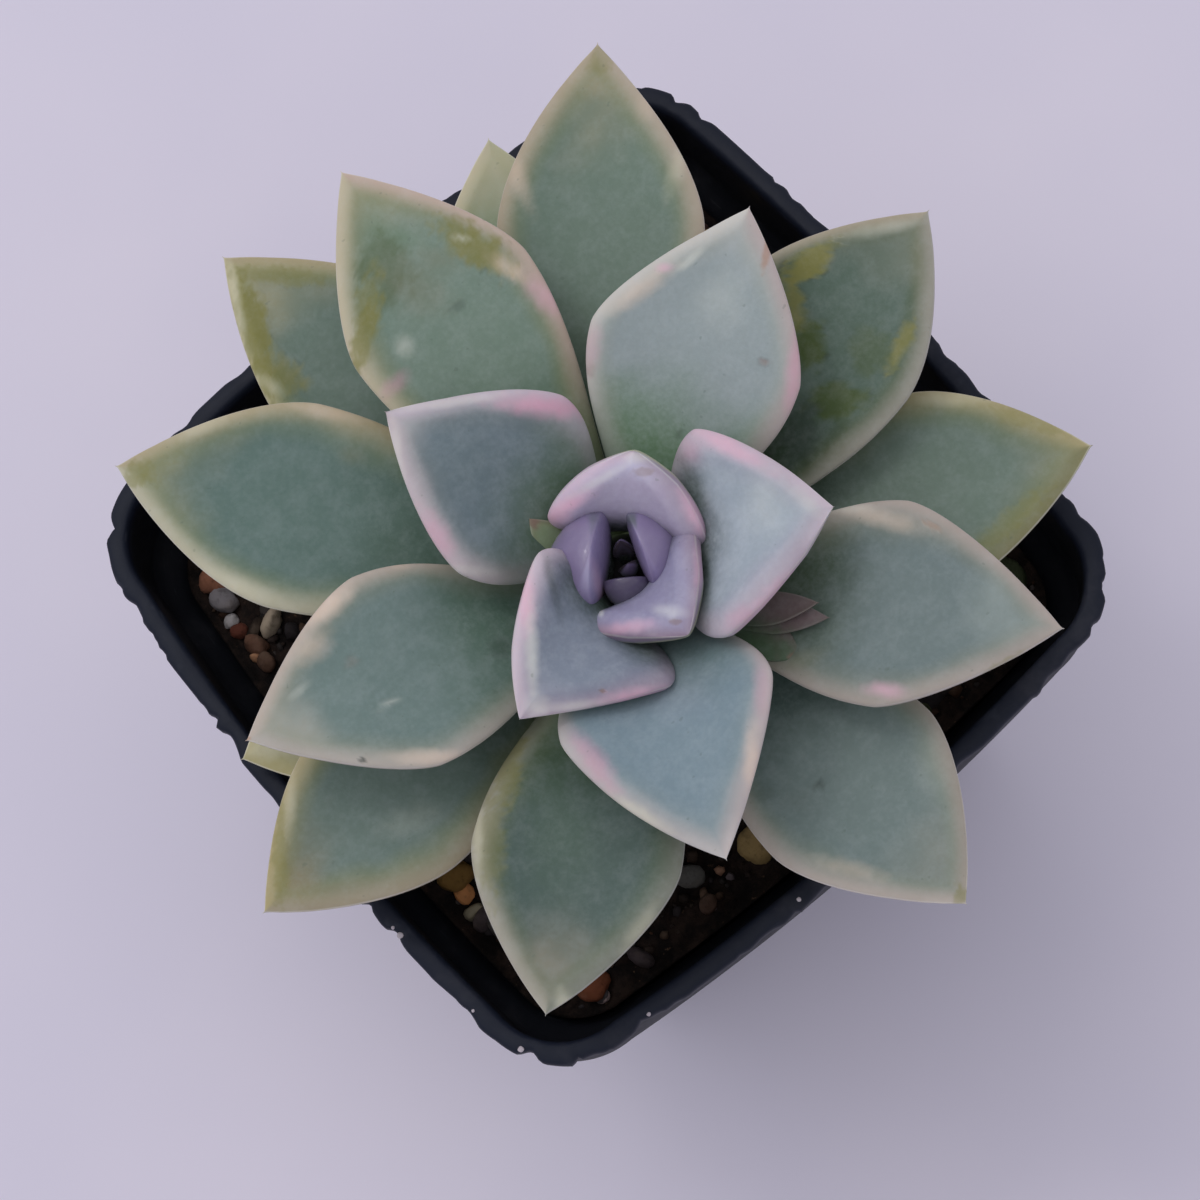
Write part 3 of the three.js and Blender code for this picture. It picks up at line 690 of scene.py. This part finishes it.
# Half width, thickness and cup at u: the width swells from the foot on a sine, then falls to the tip on a
# power, or on an ellipse where the leaf ends in a dome.
def bladeSection(leaf, u):
    past = np.clip((u - leaf["widest"]) / (1 - leaf["widest"]), 0, 1)
    swell = np.sin(math.pi / 2 * np.minimum(1, u / leaf["widest"])) ** 1.5
    rising = leaf["footWidth"] + (1 - leaf["footWidth"]) * swell
    belly = 0.55 + 0.45 * np.sin(math.pi * u)
    if leaf.get("dome"):
        fall = np.sqrt(1 - past ** leaf["dome"])
        plan, depth = np.where(past > 0, fall, rising), belly * fall
    else:
        blunt = leaf["blunt"]
        plan = np.where(past > 0, 1 - past ** leaf["point"], rising) + 0.22 * blunt * past
        plan = plan * np.sqrt(1 - u ** (22 - 12 * blunt if blunt else 90))
        depth = belly * np.sqrt(1 - u ** (5 + 3 * blunt))
    cup = leaf["cup"] * (0.35 + 0.65 * np.sin(math.pi / 2 * np.minimum(u / 0.6, 1)))
    return np.maximum(leaf["half"] * plan, 0.03), np.maximum(leaf["thick"] * depth, 0.06), cup


# Lift of the section over its chord, for c and s, the cosine and sine round it: a cupped lens with a keel.
def lensLift(leaf, half, thick, cup, c, s):
    under = np.clip(-s, 0, 1) ** 0.85 + leaf["keel"] * (1 - np.abs(c)) ** 1.5
    lens = np.where(s > 0, leaf["crown"] * np.clip(s, 0, 1) ** 0.9, (leaf["crown"] - 1) * under)
    return cup * half * c * c + thick * lens


# Points of a leaf that lie in a younger one, or above it, go down to just under that one's lower side.
def restBeneath(points, upper):
    u = np.linspace(0, 1, 61)
    middle, ahead, across, outward, _ = midrib(upper, u)
    half, thick, cup = bladeSection(upper, u)
    flat = points.reshape(-1, 3)
    near = np.argmin(((flat[:, None] - middle[None]) ** 2).sum(-1), 1)
    offset = flat - middle[near]
    side = (offset * across[near]).sum(-1) / (half[near] + 0.25)
    rise = (offset * outward[near]).sum(-1)
    forward = (offset * ahead[near]).sum(-1)
    c = np.clip(side, -1, 1)
    low = lensLift(upper, half[near], thick[near], cup[near], c, -np.sqrt(1 - c * c)) - 0.25
    top = lensLift(upper, half[near], thick[near], cup[near], c, np.sqrt(1 - c * c))
    inside = (np.abs(side) < 1) & (np.abs(forward) < 1.2) & (rise > low) & (rise < top + 0.6)
    push = np.where(inside, rise - low, 0)
    return (flat - outward[near] * push[:, None]).reshape(points.shape)


# One leaf blade as a closed tube: rings across the midrib, with a rolled margin, a soft swell in its faces
# and a small point at the tip. Its fields say where on the blade each point is.
def bladeShape(leaf, seed, uppers=()):
    t = np.linspace(0, 1, leaf["rows"])
    u = t * (2 - t)
    middle, ahead, across, outward, length = midrib(leaf, u)
    half, thick, cup = (v[:, None] for v in bladeSection(leaf, u))
    angle = np.linspace(0, 2 * math.pi, leaf["columns"], endpoint=False)[None]
    c, s, u = np.cos(angle), np.sin(angle), u[:, None]
    wobble = leaf["wobble"] * softNoise(5 * u, 1.3 * c, 0, seed) * smoothStep(u, 0.1, 0.3)
    wide = half * c * (1 + wobble)
    lift = lensLift(leaf, half, thick, cup, c, s)
    inward = half * (1 - np.abs(c))
    fade = smoothStep(u, 0.1, 0.45) * np.clip(half / (1.6 * leaf["rollWidth"]), 0, 1)
    lift = lift - leaf["rollDepth"] * fade * np.clip(1 - inward / leaf["rollWidth"], 0, 1) ** 1.5
    swell = softNoise(u * length / 7.5, half * c / 5, 0, seed + 1)
    swell += 0.5 * softNoise(u * length / 3.2, half * c / 2.6, 0, seed + 2)
    lift = lift + leaf["swell"] * swell * (1 - c ** 8) * smoothStep(u, 0.05, 0.2)
    rings = middle[:, None] + across[:, None] * wide[..., None] + outward[:, None] * lift[..., None]
    for upper in uppers:
        rings = restBeneath(rings, upper)
    gaps = np.linalg.norm(np.roll(rings, -1, 1) - rings, axis=-1)
    arc = np.cumsum(gaps, 1) - gaps
    other = arc[:, leaf["columns"] // 2][:, None]
    margin = np.minimum(np.minimum(arc, np.abs(arc - other)), gaps.sum(1)[:, None] - arc)
    blade = np.stack(np.broadcast_arrays(u, margin, c), -1)
    top = smoothStep(s, -0.45, -0.15) * np.ones(u.shape)
    tip = rings[-1].mean(0) + ahead[-1] * leaf["mucro"]
    points = tubePoints(rings[0].mean(0), rings, tip)
    fields = {"blade": tubePoints([0, 1, 0], blade, [1, 0, 0]),
              "upper": np.concatenate([[0], top.ravel(), [1]])}
    return {"points": points, "faces": tubeFaces(*rings.shape[:2]), "fields": fields}


# Tones of the marks. The shade tone and the darkest green tone are painted shade and painted shadow, laid
# where other leaves shadow a leaf.
marksTones = {
    "pink": (205, 158, 178), "rose": (190, 138, 160), "peach": (212, 186, 170), "cream": (196, 192, 172),
    "ivory": (212, 208, 198), "olive": (112, 110, 56), "moss": (66, 80, 42), "dull": (112, 112, 92),
    "brown": (118, 92, 82), "dark": (48, 56, 52), "white": (226, 220, 228), "shade": (70, 84, 76),
    "deepShadow": (34, 48, 38), "lilac": (168, 166, 192), "fern": (64, 84, 62), "green": (88, 112, 84),
    "rust": (150, 108, 80),
}
crispTones = ("olive", "moss", "dark", "brown", "rust")  # marks with ragged edges; the others fade out
markEdges = {"crisp": (1.5, 0.65), "soft": (1.7, 0.1), "softShare": 0.8, "ragged": 0.2, "patchy": 0.3}


# Marks on the upper face: ellipses at photograph pixels (x, y, length, width, turn in degrees, tone,
# strength), their outlines broken up by noise, laid one over another.
def markField(shape, marks, seed):
    x, y = toPixels(shape["points"])
    paint, cover = np.zeros((len(x), 3)), np.zeros(len(x))
    for k, (markX, markY, length, width, turn, name, strength) in enumerate(marks):
        c, s = math.cos(math.radians(turn)), math.sin(math.radians(turn))
        along, side = c * (x - markX) - s * (y - markY), s * (x - markX) + c * (y - markY)
        reach = np.hypot(along / length, side / width)
        reach = reach + markEdges["ragged"] * softNoise(x / 7, y / 7, k, seed) * min(1, width / 6)
        if name in crispTones:
            patches = softNoise(x / 11, y / 11, k, seed + 1) + softNoise(x / 3, y / 3, k, seed)
            mask = strength * smoothStep(reach + markEdges["patchy"] * patches, *markEdges["crisp"])
        else:
            mask = markEdges["softShare"] * strength * smoothStep(reach, *markEdges["soft"])
        mask *= shape["fields"]["upper"]
        own = np.array(tone(*marksTones[name])[:3])
        paint = paint * (1 - mask[:, None]) + own * mask[:, None]
        cover = cover * (1 - mask) + mask
    paint /= np.maximum(cover, 1e-4)[:, None]
    shape["fields"]["mark"] = np.concatenate([paint, cover[:, None]], 1)


# Leaf skin: a blade colour that changes from foot to tip, margins of their own colours on either side, a
# greener band inside them, a thin pale edge line that is partly a painted highlight, marks, and a patchy pale
# bloom.
def leafMaterial(name, look):
    uniform = {"IOR": 1.42, "Specular IOR Level": look["shine"], "Subsurface Weight": 0.12,
               "Subsurface Radius": (1.0, 0.8, 0.6), "Subsurface Scale": 0.0012}
    material, start, shader, spot = freshMaterial(name, uniform)

    def shade(color):
        return tone(*color, lightLevel / look["gain"])

    blade = start.attribute("blade", "Vector")
    u, margin, side = (start.node("SeparateXYZ", {}, {0: blade}, k) for k in range(3))
    broad = start.noise(spot, 130, 2) - 0.5
    mottle = start.noise(spot, 520, 3, 0.55)
    fine = start.noise(spot, 2200, 3, 0.6)
    place = u + broad * 0.3
    # The dark foot colour: the leaf's green base, on the inner leaves darker still as painted shade.
    core = place.rise(0.25, 0.55).mix(shade(look["foot"]), shade(look["core"]))
    core = place.rise(0.74, 1.02).mix(core, shade(look["tip"]))
    core = (fine.rise(0.3, 0.7) * 0.12).mix(core, shade([min(255, 1.16 * v) for v in look["core"]]))
    reach = margin * (1 + broad * 1.1) - (mottle - 0.5) * 0.25
    bandMask = (1 - reach.rise(look["width"], look["width"] * 2.6)) * look["bandShare"]
    core = bandMask.mix(core, shade(look["band"]))
    marginTone = side.rise(-0.4, 0.4).mix(shade(look["right"]), shade(look["left"]))
    edgeMask = 1 - reach.rise(look["width"] * 0.1, look["width"] * 1.7)
    color = (edgeMask * place.rise(0.12, 0.45)).mix(core, marginTone)
    # A thin pale line along the margin itself: partly the leaf's pale edge, partly a painted highlight where
    # light catches the rim.
    line = (1 - margin.rise(0.03, 0.22)) * look["lineShare"]
    color = line.mix(color, shade((205, 202, 196)))
    upper = start.attribute("upper")
    lower = u.rise(0.1, 0.9).mix(tone(96, 112, 92), shade(look["under"]))
    color = upper.mix(lower, color)
    markAlpha = start.attribute("mark", "Alpha") * (0.85 + mottle * 0.3)
    color = markAlpha.mix(color, start.attribute("mark", "Color"))
    bloom = (mottle + fine * 0.5).rise(0.55, 1.1) * look["bloom"]
    color = bloom.mix(color, tone(196, 200, 206))
    speck = start.noise(spot, 1500, 1).rise(0.74, 0.8) * 0.25
    color = speck.mix(color, tone(70, 84, 74))
    relief = start.noise(spot, 800, 3, 0.55) * 1.4 + fine * 0.4
    rough = look["rough"]
    connect(start, shader, {"Base Color": color, "Roughness": rough - 0.08 + mottle * 0.2,
                            "Normal": bump(start, relief, 0.3, 0.00012)})
    return material


# Colours of each leaf, chosen to match the photograph: foot (the leaf's own dark green, on the inner leaves
# darkened further as painted shade), middle and tip of the blade, margins on the left and right of a leaf
# seen from its foot, margin width, the band inside it, the lower side, and its marks.
lookDefaults = {"width": 1.7, "band": (118, 128, 92), "under": (150, 150, 132), "gain": 1, "shine": 0.4,
                "rough": 0.5, "bloom": 0.07, "lineShare": 0.4, "bandShare": 0.45, "marks": []}
leafLooks = [
    {"gain": 0.85, "foot": (80, 84, 98), "core": (140, 136, 164), "tip": (160, 152, 176),
     "left": (142, 118, 150), "right": (128, 98, 132), "width": 1.2, "band": (150, 140, 168),
     "bloom": 0.1, "shine": 0.5, "rough": 0.4,
     # The first white mark is a painted highlight, the glint on the leaf's glossy corner; the last, small
     # white mark is a real white fleck.
     "marks": [(670, 611, 15, 6, -8, "white", 0.5), (628, 627, 26, 6, 8, "pink", 0.6),
               (700, 565, 6, 26, 0, "pink", 0.55), (676, 622, 6, 3, 0, "brown", 0.5),
               (601, 613, 3, 4, 0, "white", 0.8)]},
    {"gain": 1.2, "foot": (52, 58, 60), "core": (140, 132, 152), "tip": (172, 172, 194),
     "left": (170, 140, 166), "right": (132, 112, 138), "width": 1.5, "band": (140, 130, 150),
     "bloom": 0.1, "shine": 0.5, "rough": 0.42,
     "marks": [(566, 507, 26, 7, 30, "pink", 0.8), (694, 512, 9, 26, 28, "pink", 0.7),
               # The ivory mark at the tip is the pale tip, partly a painted highlight on its rounded corner.
               (560, 520, 12, 7, 30, "rose", 0.4), (640, 456, 22, 6, 0, "ivory", 0.4),
               (643, 472, 8, 4, 0, "brown", 0.4), (600, 480, 30, 4, 30, "ivory", 0.3)]},
    {"foot": (48, 62, 50), "core": (112, 120, 134), "tip": (176, 172, 184), "left": (140, 118, 142),
     "right": (182, 160, 178), "width": 1.6, "band": (116, 112, 130), "bloom": 0.1, "shine": 0.45,
     "rough": 0.45,
     # The first mark, of the darkest tone, is painted shadow under the arm of the leaf above.
     "marks": [(553, 586, 5, 32, 13, "deepShadow", 0.6), (526, 595, 8, 34, 2, "pink", 0.8),
               (632, 698, 34, 8, 12, "pink", 0.75), (532, 650, 6, 40, 2, "ivory", 0.55),
               (536, 706, 12, 12, 0, "ivory", 0.4), (602, 691, 3, 3, 0, "brown", 0.7),
               (575, 706, 30, 5, 6, "ivory", 0.35)]},
    {"gain": 0.9, "foot": (40, 56, 44), "core": (148, 158, 168), "tip": (172, 178, 178),
     "left": (184, 160, 180), "right": (172, 152, 172), "width": 2.0, "band": (156, 154, 170),
     "bloom": 0.14,
     "marks": [(728, 446, 42, 9, -30, "pink", 0.7), (777, 594, 34, 10, 46, "pink", 0.6),
               (690, 450, 12, 14, 0, "rose", 0.4), (742, 618, 16, 12, 20, "rose", 0.45),
               # The two marks of the darkest tone on these lines are painted shadow in the gaps beside the
               # leaves above.
               (806, 500, 22, 8, -40, "ivory", 0.3), (705, 566, 5, 44, 2, "deepShadow", 0.8),
               (694, 484, 7, 40, 27, "deepShadow", 0.6), (765, 500, 20, 30, 0, "ivory", 0.2)]},
    {"foot": (76, 94, 78), "core": (90, 103, 110), "tip": (176, 170, 172), "left": (170, 152, 160),
     "right": (168, 150, 168), "width": 2.0, "band": (112, 118, 118), "bloom": 0.08,
     "marks": [(545, 406, 46, 10, -5, "rose", 0.9), (436, 536, 12, 26, 28, "rose", 0.55),
               (398, 470, 6, 44, 6, "ivory", 0.4), (450, 402, 50, 5, 8, "ivory", 0.35),
               (466, 570, 26, 5, -4, "ivory", 0.3), (470, 470, 40, 40, 0, "shade", 0.18)]},
    {"gain": 0.85, "foot": (98, 116, 116), "core": (116, 134, 144), "tip": (150, 158, 160),
     "left": (184, 168, 166), "right": (176, 168, 166), "width": 1.6, "band": (128, 142, 144),
     "marks": [(594, 762, 11, 34, 38, "rose", 0.6), (752, 762, 8, 30, 0, "peach", 0.7),
               (762, 690, 8, 30, 0, "rose", 0.35), (640, 815, 34, 7, -30, "cream", 0.6),
               (680, 690, 30, 30, 0, "lilac", 0.12)]},
    {"gain": 0.93, "foot": (92, 118, 92), "core": (134, 144, 146), "tip": (170, 170, 170),
     "left": (184, 178, 170), "right": (172, 152, 148), "width": 1.7, "band": (146, 150, 142),
     "marks": [(795, 370, 8, 46, -6, "rose", 0.6), (640, 290, 34, 9, 35, "peach", 0.55),
               (664, 268, 8, 5, 0, "pink", 0.6), (588, 372, 8, 8, 0, "brown", 0.25),
               (590, 350, 10, 22, -10, "rose", 0.4), (765, 362, 5, 3, 0, "brown", 0.5),
               (768, 250, 4, 22, -12, "rust", 0.5), (690, 260, 16, 4, 40, "ivory", 0.5),
               (680, 434, 3, 3, 0, "dark", 0.5), (720, 300, 24, 26, 0, "ivory", 0.14)]},
    {"gain": 0.9, "foot": (78, 100, 88), "core": (100, 118, 115), "tip": (164, 160, 148),
     "left": (168, 160, 152), "right": (176, 162, 150), "width": 1.7, "band": (128, 132, 116),
     "marks": [(330, 605, 26, 10, 38, "peach", 0.7), (312, 648, 20, 12, 40, "peach", 0.5),
               (400, 558, 16, 8, 0, "peach", 0.6), (430, 757, 34, 7, 0, "peach", 0.6),
               (388, 704, 12, 3, 28, "ivory", 0.35), (363, 760, 3, 3, 0, "dark", 0.8),
               (243, 740, 6, 4, 0, "rust", 0.5), (500, 648, 10, 9, 0, "dark", 0.3),
               (352, 664, 8, 5, 30, "brown", 0.2), (300, 690, 12, 4, 40, "ivory", 0.25)]},
    {"gain": 0.87, "foot": (70, 84, 66), "core": (102, 116, 116), "tip": (140, 150, 146),
     "left": (164, 154, 148), "right": (160, 152, 146), "width": 1.6, "band": (128, 130, 116),
     "marks": [(885, 520, 36, 8, -14, "peach", 0.5), (885, 690, 18, 7, -6, "pink", 0.65),
               (800, 660, 30, 7, 20, "dull", 0.4), (1000, 668, 28, 5, 34, "olive", 0.35),
               (930, 525, 10, 3, -30, "rust", 0.3), (850, 508, 22, 5, 0, "ivory", 0.4)]},
    {"gain": 0.92, "foot": (90, 112, 96), "core": (106, 124, 112), "tip": (150, 146, 118),
     "left": (176, 168, 148), "right": (176, 160, 150), "width": 1.7, "band": (124, 124, 84),
     "marks": [(386, 268, 22, 30, 10, "moss", 0.6), (418, 288, 30, 24, -30, "dull", 0.5),
               (474, 246, 38, 15, -34, "olive", 0.85), (370, 300, 11, 34, -6, "olive", 0.55),
               (366, 332, 10, 36, -14, "olive", 0.75), (462, 238, 9, 3, -10, "ivory", 0.4),
               (545, 296, 26, 11, -42, "pink", 0.55), (508, 268, 20, 8, -34, "peach", 0.6),
               (440, 258, 22, 10, -20, "dull", 0.45), (458, 306, 9, 4, 30, "dark", 0.35),
               (400, 236, 26, 10, -20, "green", 0.4), (404, 346, 9, 10, 0, "ivory", 0.35),
               (395, 385, 16, 8, 40, "rose", 0.45), (370, 230, 14, 30, 0, "green", 0.3)]},
    {"gain": 0.62, "foot": (76, 96, 62), "core": (86, 106, 100), "tip": (158, 152, 134),
     "left": (140, 142, 132), "right": (178, 174, 162), "width": 1.9, "band": (108, 122, 92),
     "marks": [(508, 756, 15, 40, -8, "olive", 0.6), (488, 842, 14, 50, 2, "olive", 0.4),
               (478, 830, 5, 40, 0, "cream", 0.5), (560, 830, 34, 60, 0, "green", 0.2),
               (640, 930, 26, 8, 56, "cream", 0.35), (562, 1000, 8, 12, 0, "cream", 0.4)]},
    {"gain": 0.72, "foot": (52, 66, 46), "core": (86, 106, 94), "tip": (134, 138, 122),
     "left": (168, 160, 142), "right": (158, 156, 146), "width": 1.5, "band": (98, 106, 66),
     "marks": [(808, 345, 15, 25, 6, "moss", 1.0), (836, 402, 26, 16, 4, "moss", 0.9),
               (812, 262, 28, 13, 32, "olive", 0.95), (794, 300, 9, 26, 8, "olive", 0.8),
               (901, 345, 26, 8, 64, "olive", 0.8), (870, 352, 18, 20, 0, "moss", 0.5),
               (800, 430, 18, 30, -10, "dark", 0.45), (880, 230, 34, 6, 12, "ivory", 0.3),
               (918, 262, 8, 26, 0, "dull", 0.4)]},
    {"gain": 0.87, "foot": (70, 92, 80), "core": (88, 110, 104), "tip": (142, 138, 100),
     "left": (174, 170, 152), "right": (162, 152, 128), "width": 1.9, "band": (118, 128, 96),
     "marks": [(138, 474, 16, 10, 20, "olive", 0.55), (200, 425, 30, 8, 20, "cream", 0.4),
               (330, 412, 34, 8, -10, "peach", 0.45), (240, 585, 40, 8, -24, "cream", 0.4),
               (352, 455, 12, 8, 0, "dull", 0.4)]},
    {"foot": (58, 74, 70), "core": (98, 112, 110), "tip": (118, 122, 114), "left": (142, 136, 128),
     "right": (158, 150, 144), "width": 1.7, "band": (116, 124, 108),
     "marks": [(765, 794, 12, 7, 0, "shade", 0.5), (818, 787, 4, 3, 0, "dark", 0.8),
               (962, 894, 8, 9, 0, "olive", 0.5), (850, 868, 34, 7, -14, "peach", 0.35),
               (930, 770, 16, 30, 10, "ivory", 0.12), (800, 800, 20, 9, 0, "shade", 0.3)]},
    {"gain": 0.84, "foot": (84, 100, 86), "core": (102, 120, 108), "tip": (152, 142, 112),
     "left": (164, 154, 136), "right": (170, 160, 146), "width": 1.8, "band": (122, 130, 96),
     "marks": [(600, 62, 10, 14, 0, "olive", 0.35), (520, 180, 8, 30, 20, "peach", 0.4),
               (680, 160, 8, 34, -20, "cream", 0.35), (650, 100, 10, 18, -30, "peach", 0.25)]},
    {"foot": (70, 84, 76), "core": (92, 108, 102), "tip": (126, 114, 84), "left": (136, 128, 112),
     "right": (150, 140, 108), "width": 1.9, "band": (120, 120, 74),
     "marks": [(280, 860, 7, 44, 0, "olive", 0.5), (330, 890, 40, 6, 6, "dull", 0.4),
               (290, 800, 6, 30, 0, "cream", 0.4), (410, 820, 30, 14, 20, "ivory", 0.14)]},
    {"foot": (50, 66, 54), "core": (92, 108, 98), "tip": (126, 124, 98), "left": (146, 138, 108),
     "right": (112, 110, 82), "width": 2.0, "band": (108, 114, 76),
     "marks": [(1030, 420, 34, 9, -16, "olive", 0.35), (1010, 520, 40, 9, 42, "olive", 0.4),
               (950, 398, 36, 7, 0, "cream", 0.35), (880, 440, 30, 30, 0, "shade", 0.25)]},
    {"gain": 0.86, "foot": (74, 92, 78), "core": (98, 116, 106), "tip": (158, 150, 118),
     "left": (168, 162, 130), "right": (160, 150, 124), "width": 1.7, "band": (126, 130, 66),
     "marks": [(254, 332, 13, 52, 14, "olive", 0.9), (278, 372, 24, 13, -30, "olive", 0.7),
               (280, 275, 40, 8, -4, "olive", 0.5), (236, 300, 5, 44, 10, "cream", 0.5),
               (270, 385, 16, 6, -30, "cream", 0.4)]},
    {"foot": (96, 100, 70), "core": (140, 140, 110), "tip": (156, 150, 132), "left": (150, 144, 110),
     "right": (158, 152, 120), "width": 1.9, "band": (130, 128, 70),
     "marks": [(280, 660, 16, 34, 20, "olive", 0.4), (262, 750, 20, 10, 0, "cream", 0.4)]},
    {"foot": (92, 112, 86), "core": (118, 134, 108), "tip": (170, 164, 142), "left": (170, 164, 142),
     "right": (160, 158, 134), "width": 1.7, "band": (140, 142, 108),
     "marks": []},
]
marginGrading = {
    "width": 0.85, "inner": {"upTo": 7, "strength": 0.6, "lift": 3},
    "middle": {"upTo": 8, "strength": 0.84, "lift": -2},
    "outer": {"upTo": 20, "strength": 1.14, "lift": -2},
}


# A leaf's look with its margins graded: each margin colour is drawn towards its own grey, or away from it
# where the strength is over 1, and lifted a little, and the margin is narrowed.
def gradedLook(index):
    look = {**lookDefaults, **leafLooks[index]}
    groups = [marginGrading[name] for name in ("inner", "middle", "outer")]
    group = next(entry for entry in groups if index < entry["upTo"])
    for side in ("left", "right"):
        grey = sum(look[side]) / 3
        look[side] = [round(grey + group["lift"] + group["strength"] * (v - grey)) for v in look[side]]
    look["width"] = round(look["width"] * marginGrading["width"], 1)
    return look


# The bud leaves and the shoots, their looks typed as they are used.
# Brightness of each bud leaf's colours: the first two brightened, the third, low inside the bud, darkened to
# half as painted shade.
budGains = [1.25, 1.3, 0.5]
budLook = {"foot": (50, 62, 50), "core": (104, 94, 124), "tip": (112, 102, 134),
           "left": (104, 94, 124), "right": (98, 88, 118), "width": 0.3, "band": (100, 90, 120),
           "bloom": 0.03, "shine": 0.75, "rough": 0.18, "lineShare": 0, "under": (104, 94, 122),
           "bandShare": 0.2}
# The lilac marks on the bud leaves are painted highlights on their domes, the shade marks painted shade on
# their tops; the pink is their own edge colour.
budMarks = [
    [(588, 574, 9, 22, 14, "lilac", 0.4), (600, 590, 5, 26, 14, "pink", 0.3),
     (576, 526, 24, 11, 30, "shade", 0.9)],
    [(655, 545, 6, 16, 24, "lilac", 0.4), (640, 520, 22, 8, 0, "shade", 0.9)],
    [],
]
heartLook = {**budLook, "gain": 0.8, "core": (58, 52, 62), "tip": (70, 60, 68), "left": (60, 52, 60),
             "right": (52, 46, 52)}
rightShootLook = {"gain": 0.75, "foot": (84, 84, 72), "core": (108, 92, 94), "tip": (120, 98, 96),
                  "left": (104, 90, 90), "right": (98, 86, 84), "width": 0.3, "band": (104, 90, 90),
                  "under": (84, 76, 68), "lineShare": 0.1}
leftShootLook = {"foot": (96, 118, 86), "core": (120, 134, 106), "tip": (118, 92, 82),
                 "left": (128, 136, 112), "right": (112, 112, 92), "width": 0.3, "band": (122, 128, 98),
                 "under": (112, 106, 88), "lineShare": 0.1}


# Marks of the shoots, as pixel, size, turn, tone and strength, by the shoot's name.
shootMarks = {"sideShootRight": [(760, 646, 60, 22, -22, "fern", 1.25), (797, 657, 7, 6, 0, "brown", 0.6)],
              "sideShootLeft": [(532, 521, 6, 6, 0, "brown", 0.7)]}


def slotFor(index):
    return "inner_leaf" if index < 4 else "middle_leaf" if index < 8 else "outer_leaf"


# The plant, from the youngest piece to the oldest. From leaf crown + 1 on, an older leaf rests beneath the
# younger ones.
def buildPlant():
    uppers, crown = [], 4
    for i, entry in enumerate(budLeaves):
        leaf = {**budDefaults, **entry}
        shape = bladeShape(leaf, 300 + 10 * i)
        markField(shape, budMarks[i], 60 + i)
        skin = leafMaterial(f"budSkin{i + 1}", {**lookDefaults, **budLook, "gain": budGains[i]})
        piece = makePiece(f"budLeaf{i + 1}", shape, skin)
        place(piece, f"bud_leaf_{i + 1}", "bud")
        uppers.append(leaf)
    buildBunch("budHeart", "bud_heart", "bud", budHeart, heartLook, 400)
    for i, entry in enumerate(leaves):
        rolled = dict(zip(("rollWidth", "rollDepth"), marginRolls[min(i, len(marginRolls) - 1)]))
        leaf = {**leafDefaults, "height": topLeafHeight - leafPitch * i, **rolled, **entry}
        look = gradedLook(i)
        shape = bladeShape(leaf, 500 + 10 * i, uppers if i >= crown else ())
        markField(shape, look["marks"], 80 + i)
        piece = makePiece(f"rosetteLeaf{i + 1:02d}", shape, leafMaterial(f"leafSkin{i + 1:02d}", look))
        place(piece, f"leaf_{i + 1:02d}", slotFor(i))
        uppers.append(leaf)
    print("leaves done", len(uppers))
    buildBunch("sideShootRight", "side_shoot_right", "shoot", rightShoot, rightShootLook, 700)
    buildBunch("sideShootLeft", "side_shoot_left", "shoot", leftShoot, leftShootLook, 720)


# A bunch of leaflets that grow out of one another, as one piece.
def buildBunch(name, node, slot, leaflets, look, seed):
    shapes = [bladeShape({**shootDefaults, **leaflet}, seed + 3 * k) for k, leaflet in enumerate(leaflets)]
    shape = joinShapes(shapes)
    markField(shape, shootMarks.get(name, []), seed)
    place(makePiece(name, shape, leafMaterial(name + "Skin", {**lookDefaults, **look})), node, slot)


# The stem: a profile turned about its axis, with low scars where old leaves stood.
def buildStem():
    radius, foot = stem["radius"], -soil["drop"] - stem["footDepth"]
    heights = np.array([foot, foot + 0.4, foot + 1.5, stem["shoulder"], stem["shoulder"] + 1,
                        stem["shoulder"] + 1.8, stem["top"] - 0.2])
    radii = np.array([radius - 1, radius - 0.4, radius, radius, 0.88 * radius, 0.65 * radius, 0.3 * radius])
    z = np.linspace(foot, stem["top"] - 0.2, 150)[:, None]
    lap = np.linspace(0, 2 * math.pi, 72, endpoint=False)[None]
    spiral = np.sin(5 * lap + 2.1 * z) * np.sin(1.9 * z + 3 * lap)
    rough = 0.16 * spiral + 0.12 * softNoise(2.5 * np.cos(lap), 2.5 * np.sin(lap), z / 1.2, 9)
    r = np.interp(z[:, 0], heights, radii)[:, None] * (1 + 0.25 * (rough - 0.1))
    x, y = stem["x"] + r * np.cos(lap), stem["y"] + r * np.sin(lap)
    rings = np.stack([x, y, pot["height"] + z + 0 * lap], -1)
    axis = [stem["x"], stem["y"]]
    points = tubePoints(axis + [pot["height"] + foot], rings, axis + [pot["height"] + stem["top"]])
    shape = {"points": points, "faces": tubeFaces(*rings.shape[:2]), "fields": {}}
    material, start, shader, spot = freshMaterial("woodyStem", {"Specular IOR Level": 0.25})
    scar = start.noise(spot, 380, 4, 0.6)
    height = start.node("SeparateXYZ", {}, {0: spot}, "Z")
    fresh = (height + (scar - 0.5) * 0.006).rise(0.060, 0.070)
    bark = scar.rise(0.35, 0.7).mix(tone(92, 78, 62), tone(140, 126, 104))
    green = scar.rise(0.3, 0.7).mix(tone(96, 112, 78), tone(132, 142, 108))
    inner = height.rise(0.0705, 0.0725).mix(fresh.mix(bark, green), tone(34, 32, 34))
    connect(start, shader, {"Base Color": inner, "Roughness": 0.6 + scar * 0.3,
                            "Normal": bump(start, start.noise(spot, 900, 4), 0.6, 0.0003)})
    place(makePiece("leafyStem", shape, material), "stem", "stem")


buildStage()
buildPot()
buildSoil()
buildGrains()
buildStem()
buildPlant()
